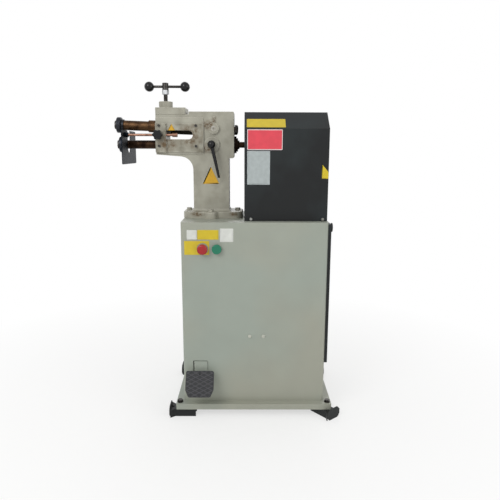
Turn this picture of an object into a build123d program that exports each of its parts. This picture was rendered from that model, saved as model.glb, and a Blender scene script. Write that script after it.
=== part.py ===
from build123d import *
from math import atan2, cos, pi, radians, sin, sqrt, tan
import os

os.makedirs("parts", exist_ok=True)

# Motor-driven rotary sheet metal crimper on a floor cabinet. Millimetres, +Z up, the floor at
# z = 0. The operator stands on the -Y side and the rolls point to the machine's left, -X.

# ---------------------------------------------------------------- driving dimensions

# cabinet, base tray and feet
cabinet_x = 104.0  # centre of the cabinet, from the centre of the floor it covers
cabinet_y = 21.0
cabinet_width = 570.0
cabinet_depth = 380.0
cabinet_height = 738.0
cabinet_sheet = 2.0
cabinet_top_sheet = 4.0
cabinet_bend = 10.0  # outside radius of the folded corners
cabinet_flange = 32.0  # rear return flange that carries the rear panel
rear_screw_in = 20.0  # rear panel screws, in from the cabinet's edges
tray_margin = 30.0  # how far the tray stands out round the cabinet
tray_height = 24.0
tray_sheet = 3.0
foot_height = 32.0
foot_sheet = 4.0
foot_width = 44.0
foot_inner_reach = 64.0  # from the foot's bolt towards the middle of the machine
foot_throat = 20.0  # from the bolt to where the sides flare out
foot_plate_reach = 42.0  # from the bolt to the outside of the end plate
foot_plate_width = 72.0
foot_plate_height = 46.0
foot_plate_chamfer = 13.0
foot_bolt_off_centre = 5.5  # bolt hole, off the channel's centre line
foot_bolt_margin_x = 15.0  # bolt, in from the tray's side edge
foot_bolt_margin_y = 21.0  # bolt, in from the tray's front or rear edge
tray_boss_diameter = 22.0
anchor_hole_diameter = 12.0
anchor_hole_reach = 31.0
foot_turns = {"front_left": 180.0, "front_right": -50.0, "rear_left": 180.0, "rear_right": 0.0}

# fasteners
bolt_diameter = 12.0  # M12 for the feet and the casting
bolt_hole_diameter = 13.0
bolt_head_flats = 18.0
bolt_head_height = 7.5
washer_diameter = 24.0
washer_thickness = 2.5
nut_height = 10.0
bolt_end = 2.0  # thread that stands out of the nut
panel_screw_diameter = 8.0
panel_screw_head = 14.0
panel_screw_head_height = 4.4
panel_hole_diameter = 9.0
panel_nut_flats = 13.0
panel_nut_height = 5.0
socket_screw_diameter = 6.0
socket_screw_head = 10.0
socket_screw_head_height = 5.0
socket_key_flats = 5.0
socket_key_depth = 3.0
screw_clearance = 6.6
counterbore_diameter = 11.0

# panels
side_panel_proud = 12.0
side_panel_fold = 3.0
side_panel_front_gap = 5.0  # from the cabinet's front to the panel
side_panel_rear_gap = 7.0
side_panel_bottom = 221.0
side_panel_top_gap = 7.0  # from the cabinet's top to the panel's top edge
side_window_margin = 34.0  # the panel laps the window by this much
panel_knob_diameter = 36.0
panel_knob_height = 8.0
panel_knob_stem = 16.0
panel_knob_in = 35.0  # knob centre, in from the panel's front or rear edge
panel_knob_down = 17.0  # knob centre, below the panel's top edge
rear_panel_sheet = 2.0
rear_panel_corner = 4.0
vent_count = 6
vent_length = 120.0
vent_height = 6.0
vent_pitch = 18.0
vent_top = 660.0
gland_in = 59.0  # from the cabinet's right side
gland_z = 130.0
gland_thread = 20.0
gland_flats = 24.0
gland_flange = 6.0
gland_nose = 14.0
gland_nose_chamfer = 4.0
gland_nut = 5.0
gland_bore = 10.0

# switchgear box behind the two bolts of the cabinet's front
switchgear_bolt_x = 113.9
switchgear_bolt_spacing = 54.5
switchgear_bolt_z = 334.0
switchgear_width = 120.0
switchgear_depth = 70.0
switchgear_sheet = 2.0
switchgear_rail = 8.0

# push buttons
button_z = 691.0
stop_button_x = -97.0
start_button_x = -42.0
button_hole_diameter = 22.5
button_barrel_diameter = 21.5
button_bezel_diameter = 30.0
button_bezel_height = 4.0
button_stem_diameter = 16.0
button_stem_fit = 0.1  # radial
stop_head_diameter = 40.0
stop_head_height = 15.0
stop_head_gap = 9.0  # from its bezel
stop_travel = 5.0
start_head_diameter = 38.0
start_head_height = 8.0
start_head_gap = 6.0
start_travel = 4.0
station_width = 100.0
station_height = 48.0
station_depth = 46.0

# foot pedal
pedal_x = -112.0
pedal_slot_width = 58.0
pedal_slot_bottom = 84.0
pedal_slot_top = 230.0
pedal_pivot_inside = 69.0  # pivot, behind the cabinet's front
pedal_pivot_z = 150.0
pedal_pin_diameter = 12.0
pedal_pin_fit = 0.05  # radial
pedal_pin_head = 3.0
pedal_pin_chamfer = 1.0
pedal_hub_diameter = 26.0
pedal_arm_width = 44.0
pedal_arm_thickness = 8.0
pedal_shield_thickness = 3.0
pedal_shield_left_gap = 4.0  # from the slot's sides
pedal_shield_right_gap = 0.8
pedal_shield_top_gap = 1.0
pedal_shield_bottom_gap = 34.0
pedal_shield_front = 4.0  # shield's front face, in front of the cabinet
pedal_travel_deg = 8.0
tread_top_width = 112.0
tread_bottom_width = 86.0
tread_chamfer_height = 28.0
tread_length = 103.0
tread_slope = 54.46  # from level
tread_centre_out = 50.0  # from the cabinet's front
tread_centre_z = 152.0
tread_backing = 3.0
tread_rubber = 6.0
tread_rib_height = 1.6
tread_rib_width = 2.6
tread_rib_pitch = 17.0
tread_rib_angle = 27.0
tread_rib_count = 9
tread_rim = 3.0
tread_corner = 8.0
bracket_sheet = 4.0
bracket_gap = 0.6  # from the hub to each cheek
bracket_front_gap = 3.0
pedal_spring_diameter = 14.0
pedal_spring_wire = 2.0
pedal_spring_ahead = 50.0
switch_ahead = 40.0
switch_size = 22.0
switch_body_height = 62.0
switch_plunger_diameter = 8.0
plunger_fit = 0.1  # radial
plunger_gap = 0.3

# cast frame
shaft_height = 293.5  # lower shaft above the cabinet's top
shaft_spacing = 62.5  # shafts when the rolls are closed
open_angle = 2.16  # how far the upper shaft is swung open at rest
pivot_x = -59.0
head_left = -288.0
head_right = 22.0
head_depth = 100.0
head_top_rise = 127.5  # above the lower shaft
front_top_rise = 116.5  # lower top under the cap block, above the lower shaft
front_top_end = -157.0
arm_tip_drop = 39.5  # underside of the arm at its tip, below the lower shaft
arm_root_drop = 50.5
rear_drop = 53.5
throat_radius = 52.0
column_left = -142.0
column_right = 2.0
column_wall = 15.0
column_core_height = 205.0
casting_corner = 8.0
pad_left = -288.0
pad_right = -98.6
pad_proud = 3.0
pad_top_rise = 104.5
pad_bottom_drop = 38.5
flange_left = -185.0
flange_right = 58.0
flange_depth = 150.0
flange_thickness = 27.0
flange_corner = 40.0
flange_fillet = 12.0
flange_edge = 5.0
ear_x = -71.0
ear_radius = 28.0
ear_centre_out = 70.0  # from the shafts' plane
ear_bolt_out = 74.5
hold_down_left = -166.5
hold_down_right = 36.0
slot_left = -246.0
slot_right = -141.0
slot_bottom_rise = 20.2
slot_top_rise = 55.1
slot_corner = 3.0
channel_width = 58.0
channel_floor_rise = 30.5
channel_top_rise = 105.0
mouth_end = -176.0  # the channel is open upwards as far as here
gear_room_left = -34.0
gear_room_right = 6.0
gear_room_width = 74.0
gear_room_bottom_drop = 38.0
gear_room_top_rise = 105.0
upper_hole_diameter = 42.0
upper_hole_drop = 2.0  # below the pivot's height
pivot_boss_diameter = 44.0
pivot_boss_height = 7.0
lever_boss_diameter = 60.0
lever_boss_height = 9.0
rib_width = 7.0
rib_shift = 2.0  # from the pivot
rib_height = 3.0
rib_top_rise = 109.0

# plates bolted to the head
guide_right = -98.6
guide_top_rise = 81.5
guide_bottom_drop = 31.5
guide_thickness = 4.0
guide_corner = 5.0
cheek_width = 42.0
cheek_thickness = 15.0
guide_screw_inset = 15.0  # of the screws at the front edge
plate_screw_inset = 30.0  # of those at the rear edge
guide_screw_top_in = 9.0
guide_screw_bottom_in = 25.0
gear_cover_margin = 13.0
gear_cover_thickness = 8.0
cap_right = -169.0
cap_thickness = 26.0
cap_side_lap = 2.0  # the cap stands out over each side of the casting
cap_screw_inset = 12.0
screw_bite = 14.0  # of the cap's screws in the casting
cap_boss_diameter = 55.0
cap_boss_height = 25.6
cap_boss_fillet = 3.0

# press screw
screw_x = -253.0
screw_diameter = 16.0
screw_fit = 0.1  # radial
screw_exposed = 28.4  # from the boss to the hex nut, at rest
screw_nut_flats = 24.0
screw_nut_height = 16.4
screw_hub_diameter = 25.0
screw_hub_height = 28.0
screw_tip_diameter = 10.0
screw_tip_length = 7.0
pad_diameter = 36.0
pad_thickness = 12.0
pad_dome_radius = 120.0
pad_gap = 0.3
pad_tip_fit = 0.1  # radial
tee_bar_diameter = 10.0
tee_bar_height = 13.6  # above the hub's foot
tee_bar_length = 143.0  # between the centres of the balls
tee_bar_shift = 7.0  # slid to the right of the hub's centre
tee_bar_fit = 0.1  # radial
tee_ball_diameter = 39.0

# swing arm of the upper shaft
arm_side_gap = 0.3
arm_recess = 2.0  # behind the head's left face
arm_height = 54.0
arm_block_end = -232.0
arm_tube_diameter = 54.0
arm_rear_block_start = -79.0
arm_rear = -38.0
pivot_pin_diameter = 20.0
pivot_pin_depth = 9.0  # into the swing arm
pivot_pin_fit = 0.05  # radial
pivot_key_flats = 8.0
pivot_key_depth = 9.0
journal_diameter = 30.0
journal_fit = 0.05  # radial
bush_diameter = 38.0
bush_length = 40.0
arm_relief_diameter = 34.0
spring_diameter = 9.0
spring_wire = 1.4
spring_off_centre = 23.0
spring_pocket_diameter = 10.4
spring_pocket_depth = 12.0
spring_x = -267.0

# shafts and rolls
roll_diameter = 62.0
roll_flange_width = 18.0
roll_hub_diameter = 46.0
roll_hub_width = 10.0
upper_roll_left = -452.0
lower_roll_left = -443.5
roll_seat_diameter = 22.0
roll_nut_diameter = 34.0
roll_nut_width = 8.0
roll_nut_slots = 4
roll_nut_slot = 5.0
upper_shaft_diameter = 39.0
lower_shaft_diameter = 34.0
collar_diameter = 48.0
collar_length = 34.0
head_gap = 1.5  # from the turned shoulders to the head
gear_seat_diameter = 28.0
upper_rear_nut_diameter = 40.0
upper_rear_nut_width = 13.0
upper_rear_nut_gap = 2.0
upper_rear_thread = 24.0
gear_teeth = 20
gear_module = 3.0
gear_pressure_angle = 20.0
gear_thinning = 0.3  # taken off each tooth
gear_width = 24.0
lower_gear_width = 28.0
gear_hub_diameter = 38.0
gear_left = -29.0
front_bush_length = 40.0
front_bush_diameter = 44.0
lower_relief_diameter = 33.0
sleeve_diameter = 50.0
sleeve_fit = 0.05  # radial
sleeve_left = -103.5
sleeve_right = -38.5
sleeve_seat_left = -114.0
shoulder_diameter = 42.0
shoulder_width = 5.0
side_play = 0.3
end_cap_diameters = (68.0, 54.0, 35.0)
end_cap_steps = (9.0, 6.0, 6.0)
end_cap_spigot = 52.0
end_cap_spigot_depth = 8.0
rear_shaft_diameter = 24.0
rear_shaft_fit = 0.05  # radial
rear_shaft_end = 200.0

# shift lever of the lower shaft
lever_x = -66.0
lever_pin_throw = 4.0
lever_pin_diameter = 8.0
lever_pin_play = 0.25
lever_pin_reach = 7.0  # into the sleeve
lever_pin_gap = 0.5
lever_shaft_diameter = 22.0
lever_shaft_fit = 0.05  # radial
lever_ball_diameter = 32.0
lever_ball_gap = 4.0
lever_rod_top = 15.0
lever_rod_end = 10.0
lever_rod_length = 133.0
lever_lean_deg = 12.6

# gauge
gauge_rise = 36.5  # rod above the lower shaft
gauge_rod_diameter = 10.0
gauge_rod_fit = 0.1  # radial
gauge_plate_x = -410.0
gauge_plate_thickness = 3.0
gauge_plate_width = 240.0
gauge_plate_top_rise = 54.5
gauge_plate_bottom_drop = 77.5
gauge_notch_width = 46.0
gauge_notch_drop = 33.5
gauge_boss_diameter = 20.0
gauge_boss_length = 12.0
gauge_corner = 6.0
rod_cap_left = -221.0
rod_cap_length = 20.0
rod_cap_diameter = 16.0
clamp_knob_x = -277.0
clamp_knob_diameter = 40.0
clamp_knob_thickness = 20.0
clamp_knob_lobes = 6
clamp_lobe_diameter = 11.0
clamp_knob_gap = 2.0
clamp_stud_diameter = 8.0
clamp_stud_fit = 0.1  # radial
clamp_stud_gap = 0.3

# drive under the cover
gearbox_left = 100.0
gearbox_width = 120.0
gearbox_height = 144.0
gearbox_front_reach = 60.0
gearbox_rear_reach = 108.0
gearbox_wall = 8.0
gearbox_hub_diameter = 62.0
gearbox_hub_length = 10.0
worm_offset = 63.0
worm_diameter = 30.0
worm_length = 70.0
wheel_diameter = 94.0
wheel_width = 30.0
wheel_hub_diameter = 40.0
inner_gap = 2.0
bearing_fit = 0.1  # radial
stand_plate = 8.0
stand_side = 6.0
stand_foot = 34.0
stand_gap = 11.0  # from the motor to each side plate
motor_diameter = 138.0
motor_flange_thickness = 10.0
motor_floor_gap = 14.0
motor_wall = 6.0
motor_shaft_diameter = 19.0
rotor_diameter = 80.0
rotor_length = 110.0
fan_diameter = 112.0
fan_height = 18.0
fan_blades = 6
fan_blade = 3.0
terminal_box_size = 70.0
terminal_box_depth = 34.0

# motor cover
cover_left = 64.0
cover_front_in = 40.0  # behind the cabinet's front
cover_rear_in = 6.0
cover_height = 418.0
cover_fold_height = 353.0
cover_slope_depth = 80.0
cover_sheet = 2.0
cover_shaft_hole = 60.0
cover_screw_in = (26.0, 18.0)  # from the cover's left and right sides
cover_screw_rise = 8.0
cover_rail_thickness = 3.0
cover_rail_height = 18.0
cover_rail_in = 14.0  # from the cover's sides
cover_vent_count = 8
cover_vent_rise = 120.0

# ---------------------------------------------------------------- derived places

tray_bottom = foot_height
tray_top = tray_bottom + tray_height
cabinet_top = tray_top + cabinet_height
cabinet_left = cabinet_x - cabinet_width / 2
cabinet_right = cabinet_x + cabinet_width / 2
cabinet_front = cabinet_y - cabinet_depth / 2
cabinet_back = cabinet_y + cabinet_depth / 2
tray_left = cabinet_left - tray_margin
tray_right = cabinet_right + tray_margin
tray_front = cabinet_front - tray_margin
tray_back = cabinet_back + tray_margin

shaft_y = cabinet_y
lower_z = cabinet_top + shaft_height
pivot_z = lower_z + shaft_spacing
head_front = shaft_y - head_depth / 2
head_back = shaft_y + head_depth / 2
head_top = lower_z + head_top_rise
front_top = lower_z + front_top_rise
slot_bottom = lower_z + slot_bottom_rise
slot_top = lower_z + slot_top_rise
channel_floor = lower_z + channel_floor_rise
flange_top = cabinet_top + flange_thickness
pad_front = head_front - pad_proud
guide_front = pad_front - guide_thickness
cheek_front = pad_front - cheek_thickness
gauge_z = lower_z + gauge_rise
gauge_y = pad_front - cheek_thickness / 2
gearbox_right = gearbox_left + gearbox_width
gearbox_bottom = lower_z - gearbox_height / 2
motor_x = gearbox_left + gearbox_width / 2
motor_y = shaft_y + worm_offset
side_panel_front = cabinet_front + side_panel_front_gap
side_panel_back = cabinet_back - side_panel_rear_gap
side_panel_top = cabinet_top - side_panel_top_gap
cover_front = cabinet_front + cover_front_in
cover_back = cabinet_back - cover_rear_in
cover_right = cabinet_right - 1.0
cover_screw_x = (cover_left + cover_screw_in[0], cover_right - cover_screw_in[1])
gland_x = cabinet_right - gland_in
cap_top = front_top + cap_thickness
boss_top = cap_top + cap_boss_height
screw_arm = pivot_x - screw_x
arm_half_width = channel_width / 2 - arm_side_gap
pedal_pivot_y = cabinet_front + pedal_pivot_inside

foot_places = {
    "front_left": (tray_left + foot_bolt_margin_x, tray_front + foot_bolt_margin_y),
    "front_right": (tray_right - foot_bolt_margin_x, tray_front + foot_bolt_margin_y),
    "rear_left": (tray_left + foot_bolt_margin_x, tray_back - foot_bolt_margin_y),
    "rear_right": (tray_right - foot_bolt_margin_x, tray_back - foot_bolt_margin_y),
}
hold_down_places = [
    (ear_x, shaft_y - ear_bolt_out),
    (ear_x, shaft_y + ear_bolt_out),
    (hold_down_left, shaft_y),
    (hold_down_right, shaft_y),
]
upper_axis = (pivot_x, shaft_y, pivot_z)


# ---------------------------------------------------------------- helpers


def facing_front(y, x=0.0, z=0.0):
    """Plane that faces the operator at depth y; its sketch reads X and Z as seen from there."""
    return Plane(origin=(x, y, z), x_dir=(1, 0, 0), z_dir=(0, -1, 0))


def facing_back(y, x=0.0, z=0.0):
    """Plane that faces away from the operator; its sketch reads -X and Z."""
    return Plane(origin=(x, y, z), x_dir=(-1, 0, 0), z_dir=(0, 1, 0))


def facing_right(x, y=0.0, z=0.0):
    """Plane that faces the machine's right at x; its sketch reads Y and Z."""
    return Plane(origin=(x, y, z), x_dir=(0, 1, 0), z_dir=(1, 0, 0))


def across_lower(x):
    """Plane across the lower shaft at x, facing right; sketch x is Y and sketch y is up."""
    return Plane(origin=(x, shaft_y, lower_z), x_dir=(0, 1, 0), z_dir=(1, 0, 0))


def across_upper(x):
    """Plane across the swung-open upper shaft; x is the place it has when the shaft is level."""
    tilt = radians(open_angle)
    along = Vector(cos(tilt), 0, -sin(tilt))
    return Plane(origin=Vector(*upper_axis) + along * (x - pivot_x), x_dir=(0, 1, 0), z_dir=along)


def level(z, x=0.0, y=0.0):
    """Level plane at height z with its origin at x, y."""
    return Plane(origin=(x, y, z), x_dir=(1, 0, 0), z_dir=(0, 0, 1))


def bar(plane, diameter, length, mode=Mode.ADD):
    """Round bar, or bore, from the plane along its normal."""
    with BuildSketch(plane) as section:
        Circle(diameter / 2)
    extrude(section.sketch, amount=length, mode=mode)


def hexagon(plane, flats, length, mode=Mode.ADD):
    """Hexagonal bar, or key socket, from the plane along its normal."""
    with BuildSketch(plane) as section:
        RegularPolygon(flats / 2, 6, major_radius=False)
    extrude(section.sketch, amount=length, mode=mode)


def block(x_range, y_range, z_range, mode=Mode.ADD, corner=0.0):
    """Block between two places on each axis, with its upright edges rounded."""
    with BuildSketch(level(z_range[0], sum(x_range) / 2, sum(y_range) / 2)) as section:
        if corner > 0:
            RectangleRounded(x_range[1] - x_range[0], y_range[1] - y_range[0], corner)
        else:
            Rectangle(x_range[1] - x_range[0], y_range[1] - y_range[0])
    extrude(section.sketch, amount=z_range[1] - z_range[0], mode=mode)


def socket_screw(plane, shank_length):
    """Socket head screw: head outside the plane, shank behind it."""
    bar(plane, socket_screw_head, socket_screw_head_height)
    hexagon(
        plane.offset(socket_screw_head_height), socket_key_flats, -socket_key_depth, Mode.SUBTRACT
    )
    bar(plane, socket_screw_diameter, -shank_length)


def hex_bolt(plane, shank_length):
    """Hex bolt with its washer: washer on the plane, shank behind it."""
    bar(plane, washer_diameter, washer_thickness)
    hexagon(plane.offset(washer_thickness), bolt_head_flats, bolt_head_height)
    bar(plane, bolt_diameter, -shank_length)


def hex_nut(plane):
    """Nut and washer for a hex bolt, from the plane along its normal, with the bolt's end."""
    bar(plane, washer_diameter, washer_thickness)
    hexagon(plane.offset(washer_thickness), bolt_head_flats, nut_height)
    bar(plane, bolt_diameter, washer_thickness + nut_height + bolt_end)


def panel_screw(plane, grip):
    """Button head screw through two sheets, with its nut behind them."""
    with Locations(plane):
        Cone(
            bottom_radius=panel_screw_head / 2,
            top_radius=panel_screw_head / 3,
            height=panel_screw_head_height,
            align=(Align.CENTER, Align.CENTER, Align.MIN),
        )
    hexagon(
        plane.offset(panel_screw_head_height), socket_key_flats, -socket_key_depth, Mode.SUBTRACT
    )
    bar(plane, panel_screw_diameter, -grip - panel_nut_height - 1)
    hexagon(plane.offset(-grip), panel_nut_flats, -panel_nut_height)


def tooth_half_angle(radius):
    """Half the angle that a gear tooth fills at this radius."""
    pitch_radius = gear_module * gear_teeth / 2
    base_radius = pitch_radius * cos(radians(gear_pressure_angle))
    pitch_half = (pi * gear_module / 2 - gear_thinning) / 2 / pitch_radius
    pitch_roll = tan(radians(gear_pressure_angle)) - radians(gear_pressure_angle)
    if radius <= base_radius:
        return pitch_half + pitch_roll
    pressure = atan2(sqrt(radius**2 - base_radius**2), base_radius)
    return pitch_half + pitch_roll - (tan(pressure) - pressure)


def gear_teeth_outline(first_tooth_deg):
    """Closed outline of a spur gear with one tooth at the given angle."""
    pitch_radius = gear_module * gear_teeth / 2
    root = pitch_radius - 1.25 * gear_module
    base = pitch_radius * cos(radians(gear_pressure_angle))
    tip = pitch_radius + gear_module
    flank = [root, base, pitch_radius, tip]
    points = []
    for tooth in range(gear_teeth):
        middle = radians(first_tooth_deg) + 2 * pi * tooth / gear_teeth
        for side, radii in ((-1, flank), (1, flank[::-1])):
            for radius in radii:
                angle = middle + side * tooth_half_angle(radius)
                points.append((radius * cos(angle), radius * sin(angle)))
    return points


def spur_gear(plane, width, hub_length, bore, first_tooth_deg):
    """Spur gear from the plane along its normal, with a hub in front of it."""
    with BuildSketch(plane) as teeth:
        with BuildLine():
            Polyline(*gear_teeth_outline(first_tooth_deg), close=True)
        make_face()
    extrude(teeth.sketch, amount=width)
    bar(plane, gear_hub_diameter, -hub_length)
    bar(plane.offset(-hub_length), bore, hub_length + width, Mode.SUBTRACT)


def forming_roll(across, left):
    """Roll with its working flange on the left and its hub towards the shaft."""
    bar(across(left), roll_diameter, roll_flange_width)
    rim = edges().filter_by(GeomType.CIRCLE).group_by(SortBy.RADIUS)[-1]
    fillet(rim, roll_flange_width / 6)
    bar(across(left + roll_flange_width), roll_hub_diameter, roll_hub_width)
    bar(across(left), roll_seat_diameter, roll_flange_width + roll_hub_width, Mode.SUBTRACT)


def slotted_nut(across, right):
    """Round nut that holds a roll, with slots for a hook wrench."""
    bar(across(right - roll_nut_width), roll_nut_diameter, roll_nut_width)
    with BuildSketch(across(right - roll_nut_width)) as slots:
        with PolarLocations(roll_nut_diameter / 2, roll_nut_slots):
            Rectangle(roll_nut_slot, roll_nut_slot)
    extrude(slots.sketch, amount=roll_nut_width, mode=Mode.SUBTRACT)
    bar(across(right - roll_nut_width), roll_seat_diameter, roll_nut_width, Mode.SUBTRACT)


# ---------------------------------------------------------------- base

with BuildPart() as base_tray:
    block((tray_left, tray_right), (tray_front, tray_back), (tray_bottom, tray_top), corner=4)
    block(
        (tray_left + tray_sheet, tray_right - tray_sheet),
        (tray_front + tray_sheet, tray_back - tray_sheet),
        (tray_bottom, tray_top - tray_sheet),
        Mode.SUBTRACT,
    )
    for place in foot_places.values():
        bar(level(tray_bottom, *place), tray_boss_diameter, tray_height)
        bar(level(tray_bottom, *place), bolt_hole_diameter, tray_height, Mode.SUBTRACT)
base_tray.part.label = "base_tray"
export_step(base_tray.part, "parts/base_tray.step")

for place_name, (foot_x, foot_y) in foot_places.items():
    turn = radians(foot_turns[place_name])
    outwards = (cos(turn), sin(turn), 0)
    foot_plane = Plane(origin=(foot_x, foot_y, 0), x_dir=outwards, z_dir=(0, 0, 1))
    end_plane = Plane(origin=(foot_x, foot_y, 0), x_dir=(0, 0, 1), z_dir=outwards)
    flare_out = foot_plate_reach - foot_sheet
    with BuildPart() as foot:
        with BuildSketch(foot_plane):
            with BuildLine():
                half = foot_width / 2
                wide = foot_plate_width / 2
                Polyline(
                    (-foot_inner_reach, half - foot_bolt_off_centre),
                    (foot_throat, half - foot_bolt_off_centre),
                    (flare_out, wide - foot_bolt_off_centre),
                    (flare_out, -wide - foot_bolt_off_centre),
                    (foot_throat, -half - foot_bolt_off_centre),
                    (-foot_inner_reach, -half - foot_bolt_off_centre),
                    close=True,
                )
            make_face()
        extrude(amount=foot_height)
        with BuildSketch(foot_plane):
            with BuildLine():
                half = foot_width / 2 - foot_sheet
                wide = foot_plate_width / 2 - foot_sheet
                Polyline(
                    (-foot_inner_reach, half - foot_bolt_off_centre),
                    (foot_throat, half - foot_bolt_off_centre),
                    (flare_out, wide - foot_bolt_off_centre),
                    (flare_out, -wide - foot_bolt_off_centre),
                    (foot_throat, -half - foot_bolt_off_centre),
                    (-foot_inner_reach, -half - foot_bolt_off_centre),
                    close=True,
                )
            make_face()
        extrude(amount=foot_height - foot_sheet, mode=Mode.SUBTRACT)
        with BuildSketch(end_plane.offset(flare_out)):
            with Locations((foot_plate_height / 2, foot_bolt_off_centre)):
                Rectangle(foot_plate_height, foot_plate_width)
            chamfer(vertices(), foot_plate_chamfer)
        extrude(amount=foot_sheet)
        with BuildSketch(foot_plane):
            Circle(bolt_hole_diameter / 2)
            with Locations((anchor_hole_reach, -foot_bolt_off_centre)):
                Circle(anchor_hole_diameter / 2)
        extrude(amount=foot_height, mode=Mode.SUBTRACT)
    foot.part.label = f"foot_{place_name}"
    export_step(foot.part, f"parts/foot_{place_name}.step")

with BuildPart() as foot_bolts:
    for place in foot_places.values():
        hex_bolt(level(tray_top, *place), tray_height + foot_sheet)
        web_under = foot_height - foot_sheet
        hex_nut(Plane(origin=(*place, web_under), x_dir=(1, 0, 0), z_dir=(0, 0, -1)))
foot_bolts.part.label = "foot_bolts"
export_step(foot_bolts.part, "parts/foot_bolts.step")

# ---------------------------------------------------------------- cabinet

window_front = side_panel_front + side_window_margin
window_back = side_panel_back - side_window_margin
window_bottom = side_panel_bottom + side_window_margin
window_top = side_panel_top - side_window_margin
cabinet_inner_front = cabinet_front + cabinet_sheet
cabinet_inner_top = cabinet_top - cabinet_top_sheet
switchgear_bolt_places = [
    (switchgear_bolt_x + side * switchgear_bolt_spacing / 2, switchgear_bolt_z)
    for side in (-1, 1)
]
button_places = [(stop_button_x, button_z), (start_button_x, button_z)]
panel_knob_z = side_panel_top - panel_knob_down
panel_knob_places = [
    (side_panel_front + panel_knob_in, panel_knob_z),
    (side_panel_back - panel_knob_in, panel_knob_z),
]
rear_screw_x = cabinet_width / 2 - rear_screw_in
rear_screw_low = tray_top + rear_screw_in
rear_screw_high = cabinet_top - rear_screw_in
rear_screw_places = [
    (cabinet_x + side * rear_screw_x, height)
    for side in (-1, 1)
    for height in (rear_screw_low, (rear_screw_low + rear_screw_high) / 2, rear_screw_high)
]

with BuildPart() as cabinet_shell:
    block(
        (cabinet_left, cabinet_right),
        (cabinet_front, cabinet_back),
        (tray_top, cabinet_top),
        corner=cabinet_bend,
    )
    block(
        (cabinet_left + cabinet_sheet, cabinet_right - cabinet_sheet),
        (cabinet_inner_front, cabinet_back - cabinet_sheet),
        (tray_top, cabinet_inner_top),
        Mode.SUBTRACT,
        corner=cabinet_bend - cabinet_sheet,
    )
    block(
        (cabinet_left + cabinet_flange, cabinet_right - cabinet_flange),
        (cabinet_back - cabinet_bend, cabinet_back),
        (tray_top + cabinet_flange / 2, cabinet_top - cabinet_flange),
        Mode.SUBTRACT,
    )
    with BuildSketch(facing_front(cabinet_front)):
        with Locations((pedal_x, (pedal_slot_bottom + pedal_slot_top) / 2)):
            Rectangle(pedal_slot_width, pedal_slot_top - pedal_slot_bottom)
        with Locations(*button_places):
            Circle(button_hole_diameter / 2)
        with Locations(*switchgear_bolt_places):
            Circle(panel_hole_diameter / 2)
    extrude(amount=-cabinet_sheet, mode=Mode.SUBTRACT)
    block(
        (cabinet_right - cabinet_sheet, cabinet_right),
        (window_front, window_back),
        (window_bottom, window_top),
        Mode.SUBTRACT,
    )
    for knob_y, knob_z in panel_knob_places:
        knob_hole = facing_right(cabinet_right, knob_y, knob_z)
        bar(knob_hole, panel_hole_diameter, -cabinet_sheet, Mode.SUBTRACT)
    with BuildSketch(facing_back(cabinet_back)):
        with Locations(*[(-x, z) for x, z in rear_screw_places]):
            Circle(panel_hole_diameter / 2)
    extrude(amount=-cabinet_sheet, mode=Mode.SUBTRACT)
    for place in hold_down_places:
        bar(level(cabinet_inner_top, *place), bolt_hole_diameter, cabinet_top_sheet, Mode.SUBTRACT)
    for rail_front in (cover_front + cover_sheet, cover_back - cover_sheet - cover_rail_thickness):
        block(
            (cover_left + cover_rail_in, cover_right - cover_rail_in),
            (rail_front, rail_front + cover_rail_thickness),
            (cabinet_top, cabinet_top + cover_rail_height),
        )
    for x in cover_screw_x:
        rail_hole = facing_front(cover_front, x, cabinet_top + cover_screw_rise)
        bar(rail_hole, panel_hole_diameter, cover_front - cover_back, Mode.SUBTRACT)
    # welded up from a folded front, two sides, a rear frame, a top sheet and two rails
    for weld in (
        level(cabinet_top),
        level(cabinet_inner_top),
        facing_front(cabinet_front + cabinet_bend),
        facing_front(cabinet_back - cabinet_bend),
    ):
        split(bisect_by=weld, keep=Keep.BOTH)
cabinet_shell.part.label = "cabinet_shell"
export_step(cabinet_shell.part, "parts/cabinet_shell.step")

with BuildPart() as cabinet_rear_panel:
    with BuildSketch(facing_back(cabinet_back)):
        with Locations((-cabinet_x, (tray_top + cabinet_top) / 2)):
            rear_width = cabinet_width - cabinet_bend
            rear_height = cabinet_height - cabinet_bend
            RectangleRounded(rear_width, rear_height, rear_panel_corner)
        with Locations((-cabinet_x, vent_top - vent_pitch * (vent_count - 1) / 2)):
            with GridLocations(vent_length * 1.6, vent_pitch, 2, vent_count):
                SlotOverall(vent_length, vent_height, mode=Mode.SUBTRACT)
        with Locations((-gland_x, gland_z)):
            Circle(gland_thread / 2, mode=Mode.SUBTRACT)
        with Locations(*[(-x, z) for x, z in rear_screw_places]):
            Circle(panel_hole_diameter / 2, mode=Mode.SUBTRACT)
    extrude(amount=rear_panel_sheet)
cabinet_rear_panel.part.label = "cabinet_rear_panel"
export_step(cabinet_rear_panel.part, "parts/cabinet_rear_panel.step")

with BuildPart() as cable_gland:
    gland_plane = facing_back(cabinet_back + rear_panel_sheet, gland_x, gland_z)
    hexagon(gland_plane, gland_flats, gland_flange)
    bar(gland_plane.offset(gland_flange), gland_thread, gland_nose)
    chamfer(faces().sort_by(Axis.Y)[-1].edges(), gland_nose_chamfer)
    bar(gland_plane, gland_thread, -rear_panel_sheet)
    hexagon(gland_plane.offset(-rear_panel_sheet), gland_flats, -gland_nut)
    gland_inside = gland_plane.offset(-rear_panel_sheet - gland_nut)
    gland_length = gland_nut + rear_panel_sheet + gland_flange + gland_nose
    bar(gland_inside, gland_bore, gland_length, Mode.SUBTRACT)
cable_gland.part.label = "cable_gland"
export_step(cable_gland.part, "parts/cable_gland.step")

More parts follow.
